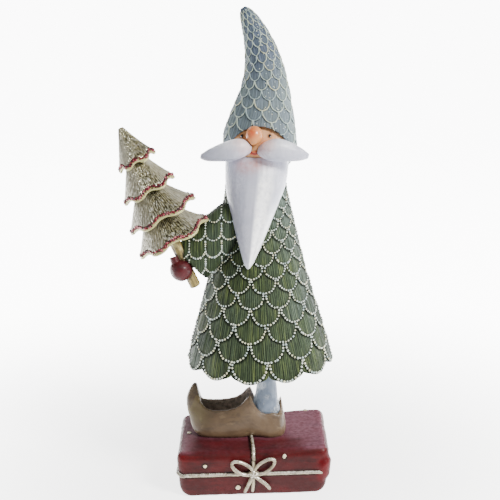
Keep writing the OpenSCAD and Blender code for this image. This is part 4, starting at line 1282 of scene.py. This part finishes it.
def grow_tier(k):
    """One pleated tier: its skin from the top down and in under the rim, and its rim's glitter."""
    r1, s1 = TIERS[k][1] * TREE_R, TIERS[k][0]
    r0, s0 = (1.3, 0) if k == 1 else (0.42 * TIERS[k - 1][1] * TREE_R, TIERS[k - 1][0] - 3)
    height = s1 - s0
    cols = RIBS * 6
    q = np.arange(cols) * FULL / cols
    fold = tier_fold(q)
    shifts = SEED.random(RIBS) * 6.28
    heights = SEED.uniform(0.55, 1.25, RIBS)
    number = np.arange(cols) // 6
    ribs = np.abs(np.sin(RIBS / 2 * q))
    # The calm band on the left gets painted shade; the one on the right, from the second tier down, a painted
    # highlight.
    left = side_of(q, -165, 0.1, 0.75)
    calm = left + 0.8 * side_of(q, -8, 0.6, 0.97) * (k > 1)
    rows, data = [], {name: [] for name in ("rib", "lip", "wash", "plain", "left", "lie")}

    def add_ring(r, axial, lip, wash, amount, f=1.0):
        broken = 0.75 + 0.25 * np.sin(axial * 1.7 + shifts[number]) * heights[number]
        bump_out = 0.34 * amount * (r1 / 21) ** 0.5 * (np.clip(ribs * 1.5, 0, 1) * broken - 0.6)
        rows.append(on_tree(polar(r + bump_out + tier_reach(k, f, q), q, axial)))
        values = (smooth(0.5, 0.1, ribs) * amount * (1 - 0.5 * calm), lip + 0 * q, wash + 0 * q, calm, left,
                  np.stack([q * 10, axial, k * 9 + 0 * q], -1))
        for name, v in zip(data, values):
            data[name].append(v)

    # Darker under the tier above, under the rim and inside: painted shade.
    for f in np.linspace(0.0, 1, 30):
        g, depth = (float(np.interp(f, PROFILE[:, 0], PROFILE[:, n])) for n in (1, 2))
        r = (r0 + (r1 - r0) * g) * (1 + 0.1 * fold * depth)
        axial = -s0 - height * f - 1.6 * fold * depth + 0.1 * r * depth * np.cos(q)
        to_rim = (1 - f) * height
        step = 0.25 * smooth(1.8, 1.2, to_rim) * smooth(0.6, 1.2, to_rim)
        add_ring(r - step, axial, smooth(1.3, 0.8, to_rim), 0.75 * (1 - smooth(0.0, 0.2, f)) * (k > 1),
                 smooth(1.0, 2.0, to_rim) * smooth(0, 0.12, f), f if k > 1 else f * f)
    for dr, dz, wash in ((0.25, -0.35, 0), (-0.1, -0.95, 0.1), (-0.9, -1.2, 0.35), (-0.12 * r1, -0.4, 0.8)):
        add_ring((r1 + dr) * (1 + 0.1 * fold), -s1 + dz - 1.6 * fold + 0.1 * r1 * np.cos(q), 1.0, wash, 0)
    for share, up in ((0.62, 3.4), (0.3, 5.0)):
        add_ring(r1 * share * (1 + 0.1 * fold * share),
                 -s1 + up - 1.6 * fold * share + 0.1 * r1 * share * np.cos(q), 0.3, 1.0, 0, 0.0)
    ends = on_tree([[0, 0, -s0 + (0.4 if k == 1 else 0)], [0, 0, -s1 + 5.2]])
    for rings in data.values():
        rings.append(np.zeros((2,) + rings[0].shape[1:]))
    tier = make(f"tree_tier_{k}_piece", np.concatenate(rows + [ends]),
                skin_faces(len(rows), cols) + cap_faces(len(rows), cols),
                **{name: np.concatenate(v) for name, v in data.items()})
    finish_piece(tier, champagne)

    fine = np.linspace(0, FULL, 2400, endpoint=False)
    fold = tier_fold(fine)
    f = 1 - 1.15 / height
    g = float(np.interp(f, PROFILE[:, 0], PROFILE[:, 1]))
    r = (r0 + (r1 - r0) * g + 0.1) * (1 + 0.1 * fold) + tier_reach(k, 1.0, fine)
    line = on_tree(polar(r, fine, -s0 - height * f - 1.6 * fold + 0.1 * r * np.cos(fine)))
    d = lengths(line)
    for strand, fullness in enumerate((0.95, 0.8, 0.45)):
        s = np.arange(0, d[-1], 0.85)
        s = s + SEED.normal(0, 0.22, len(s))
        s = s[SEED.random(len(s)) < fullness]
        m = np.clip(np.searchsorted(d, s), 0, len(fine) - 1)
        out = unit(tree_way(polar(1, fine[m], 0.35)))
        down = (SEED.normal(-0.5, 0.25, len(m)) + 0.6 * strand)[:, None] * tree_way([0, 0, -1])
        rim_dabs.extend(zip(line[m] + down + out * 0.08, out))
        rim_sizes.extend(SEED.uniform(0.42, 0.7, len(m)))


for k in range(1, 5):
    grow_tier(k)
beads("tree_rim_glitter", rim_dabs, rim_sizes, 0.9, 0.1, sparkle)

TRUNK_R, TRUNK_TOP, TRUNK_END, SIDES = 3.3, -TIERS[4][0] + 2.9, -106.0, 64
q = np.arange(SIDES) * FULL / SIDES
levels = [(z, 1.0) for z in [TRUNK_TOP, *np.linspace(-TIERS[4][0] + 1, TRUNK_END + 0.8, 34)]]
levels += [(TRUNK_END + up, share) for up, share in ((0.3, 0.95), (0.02, 0.84), (0, 0.55), (0.15, 0.2))]
rows, wash = [], []
for z, share in levels:
    bark = 0.14 * np.sin(9 * q + 0.5 * np.sin(z * 0.35)) + 0.08 * np.sin(17 * q + z * 0.2 + 1)
    ring = TRUNK_R * share + (bark + 0.05 * np.sin(z * 0.9 + 3 * q)) * (share > 0.9) - 0.1
    rows.append(on_tree(polar(ring, q, z)))
    wash.append(smooth(0.03, -0.16, bark) * 0.7 if share > 0.9 else 0 * q + (0.3 if share > 0.8 else 0.95))
ends = on_tree([[0, 0, TRUNK_TOP], [0, 0, TRUNK_END + 0.15]])
trunk = make("tree_trunk_piece", np.concatenate(rows + [ends]),
             skin_faces(len(rows), SIDES) + cap_faces(len(rows), SIDES))
co, no = points(trunk)
# Darker in the bark's grooves, on the end face and against the mitten and sleeve: antiquing and painted
# shade.
paint(trunk, wash=np.concatenate(wash + [np.ones(2)]) + touch(trunk, 0.9, "near_mitten", "near_sleeve"),
      wear=smooth(0.2, 0.9, wobble(co, 3, 81)))
gold = resin("trunk_gold_paint", "#a8975a", "#908047", "#30251a", "#d8cfa0", 0.4, 5,
             (1, 1, 0.3), 1.6, 0.9, 0.7, 0.5, 0.5, 0.1, bump=0.4)
finish_piece(trunk, gold)


# ---------------- hidden CAD parts

def dress(node, material):
    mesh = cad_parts[node].data
    mesh.materials.clear()
    mesh.materials.append(material)


dress("base_plate", resin("base_board", "#b79f72", "#a58c60", "#5e4a2e", "#d6c49c", 0.7, 20,
                          (0.1, 1, 1), 2.5, 0.8, 0.4, 0.5))
felt = Paint("felt_grey", "#2f2e2c", 0.95, gloss=0.15)
fluff = felt.noise(0.45, 6, 0.75, 0.8)
felt.layer(felt.span(fluff, 0.3, 0.7), "#55534f")
dress("felt_sheet", felt.finish(None, fluff, 0.9, 0.4))
steel = Paint("rod_steel", "#77797c", 0.35, 1.0)
drawn = steel.noise(0.6, 4, 0.6, 0, steel.scale(steel.mm, (1, 1, 0.05)))
steel.layer(drawn, "#b9bbbd")
dress("armature_rod", steel.finish(steel.span(drawn, 0.2, 0.8, 0.25, 0.5), drawn, 0.2, 0.1))
dress("coat_floor", resin("coat_floor_green", "#3f4a2c", "#36402a", "#161a10", "#5f6b46", 0.55, 12,
                          (1, 1, 1), 2.5, 0.8, 0.4, 0.5))

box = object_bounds()
sizes = {"cad": [list(v) for v in cad_box], "visual": [list(v) for v in box]}
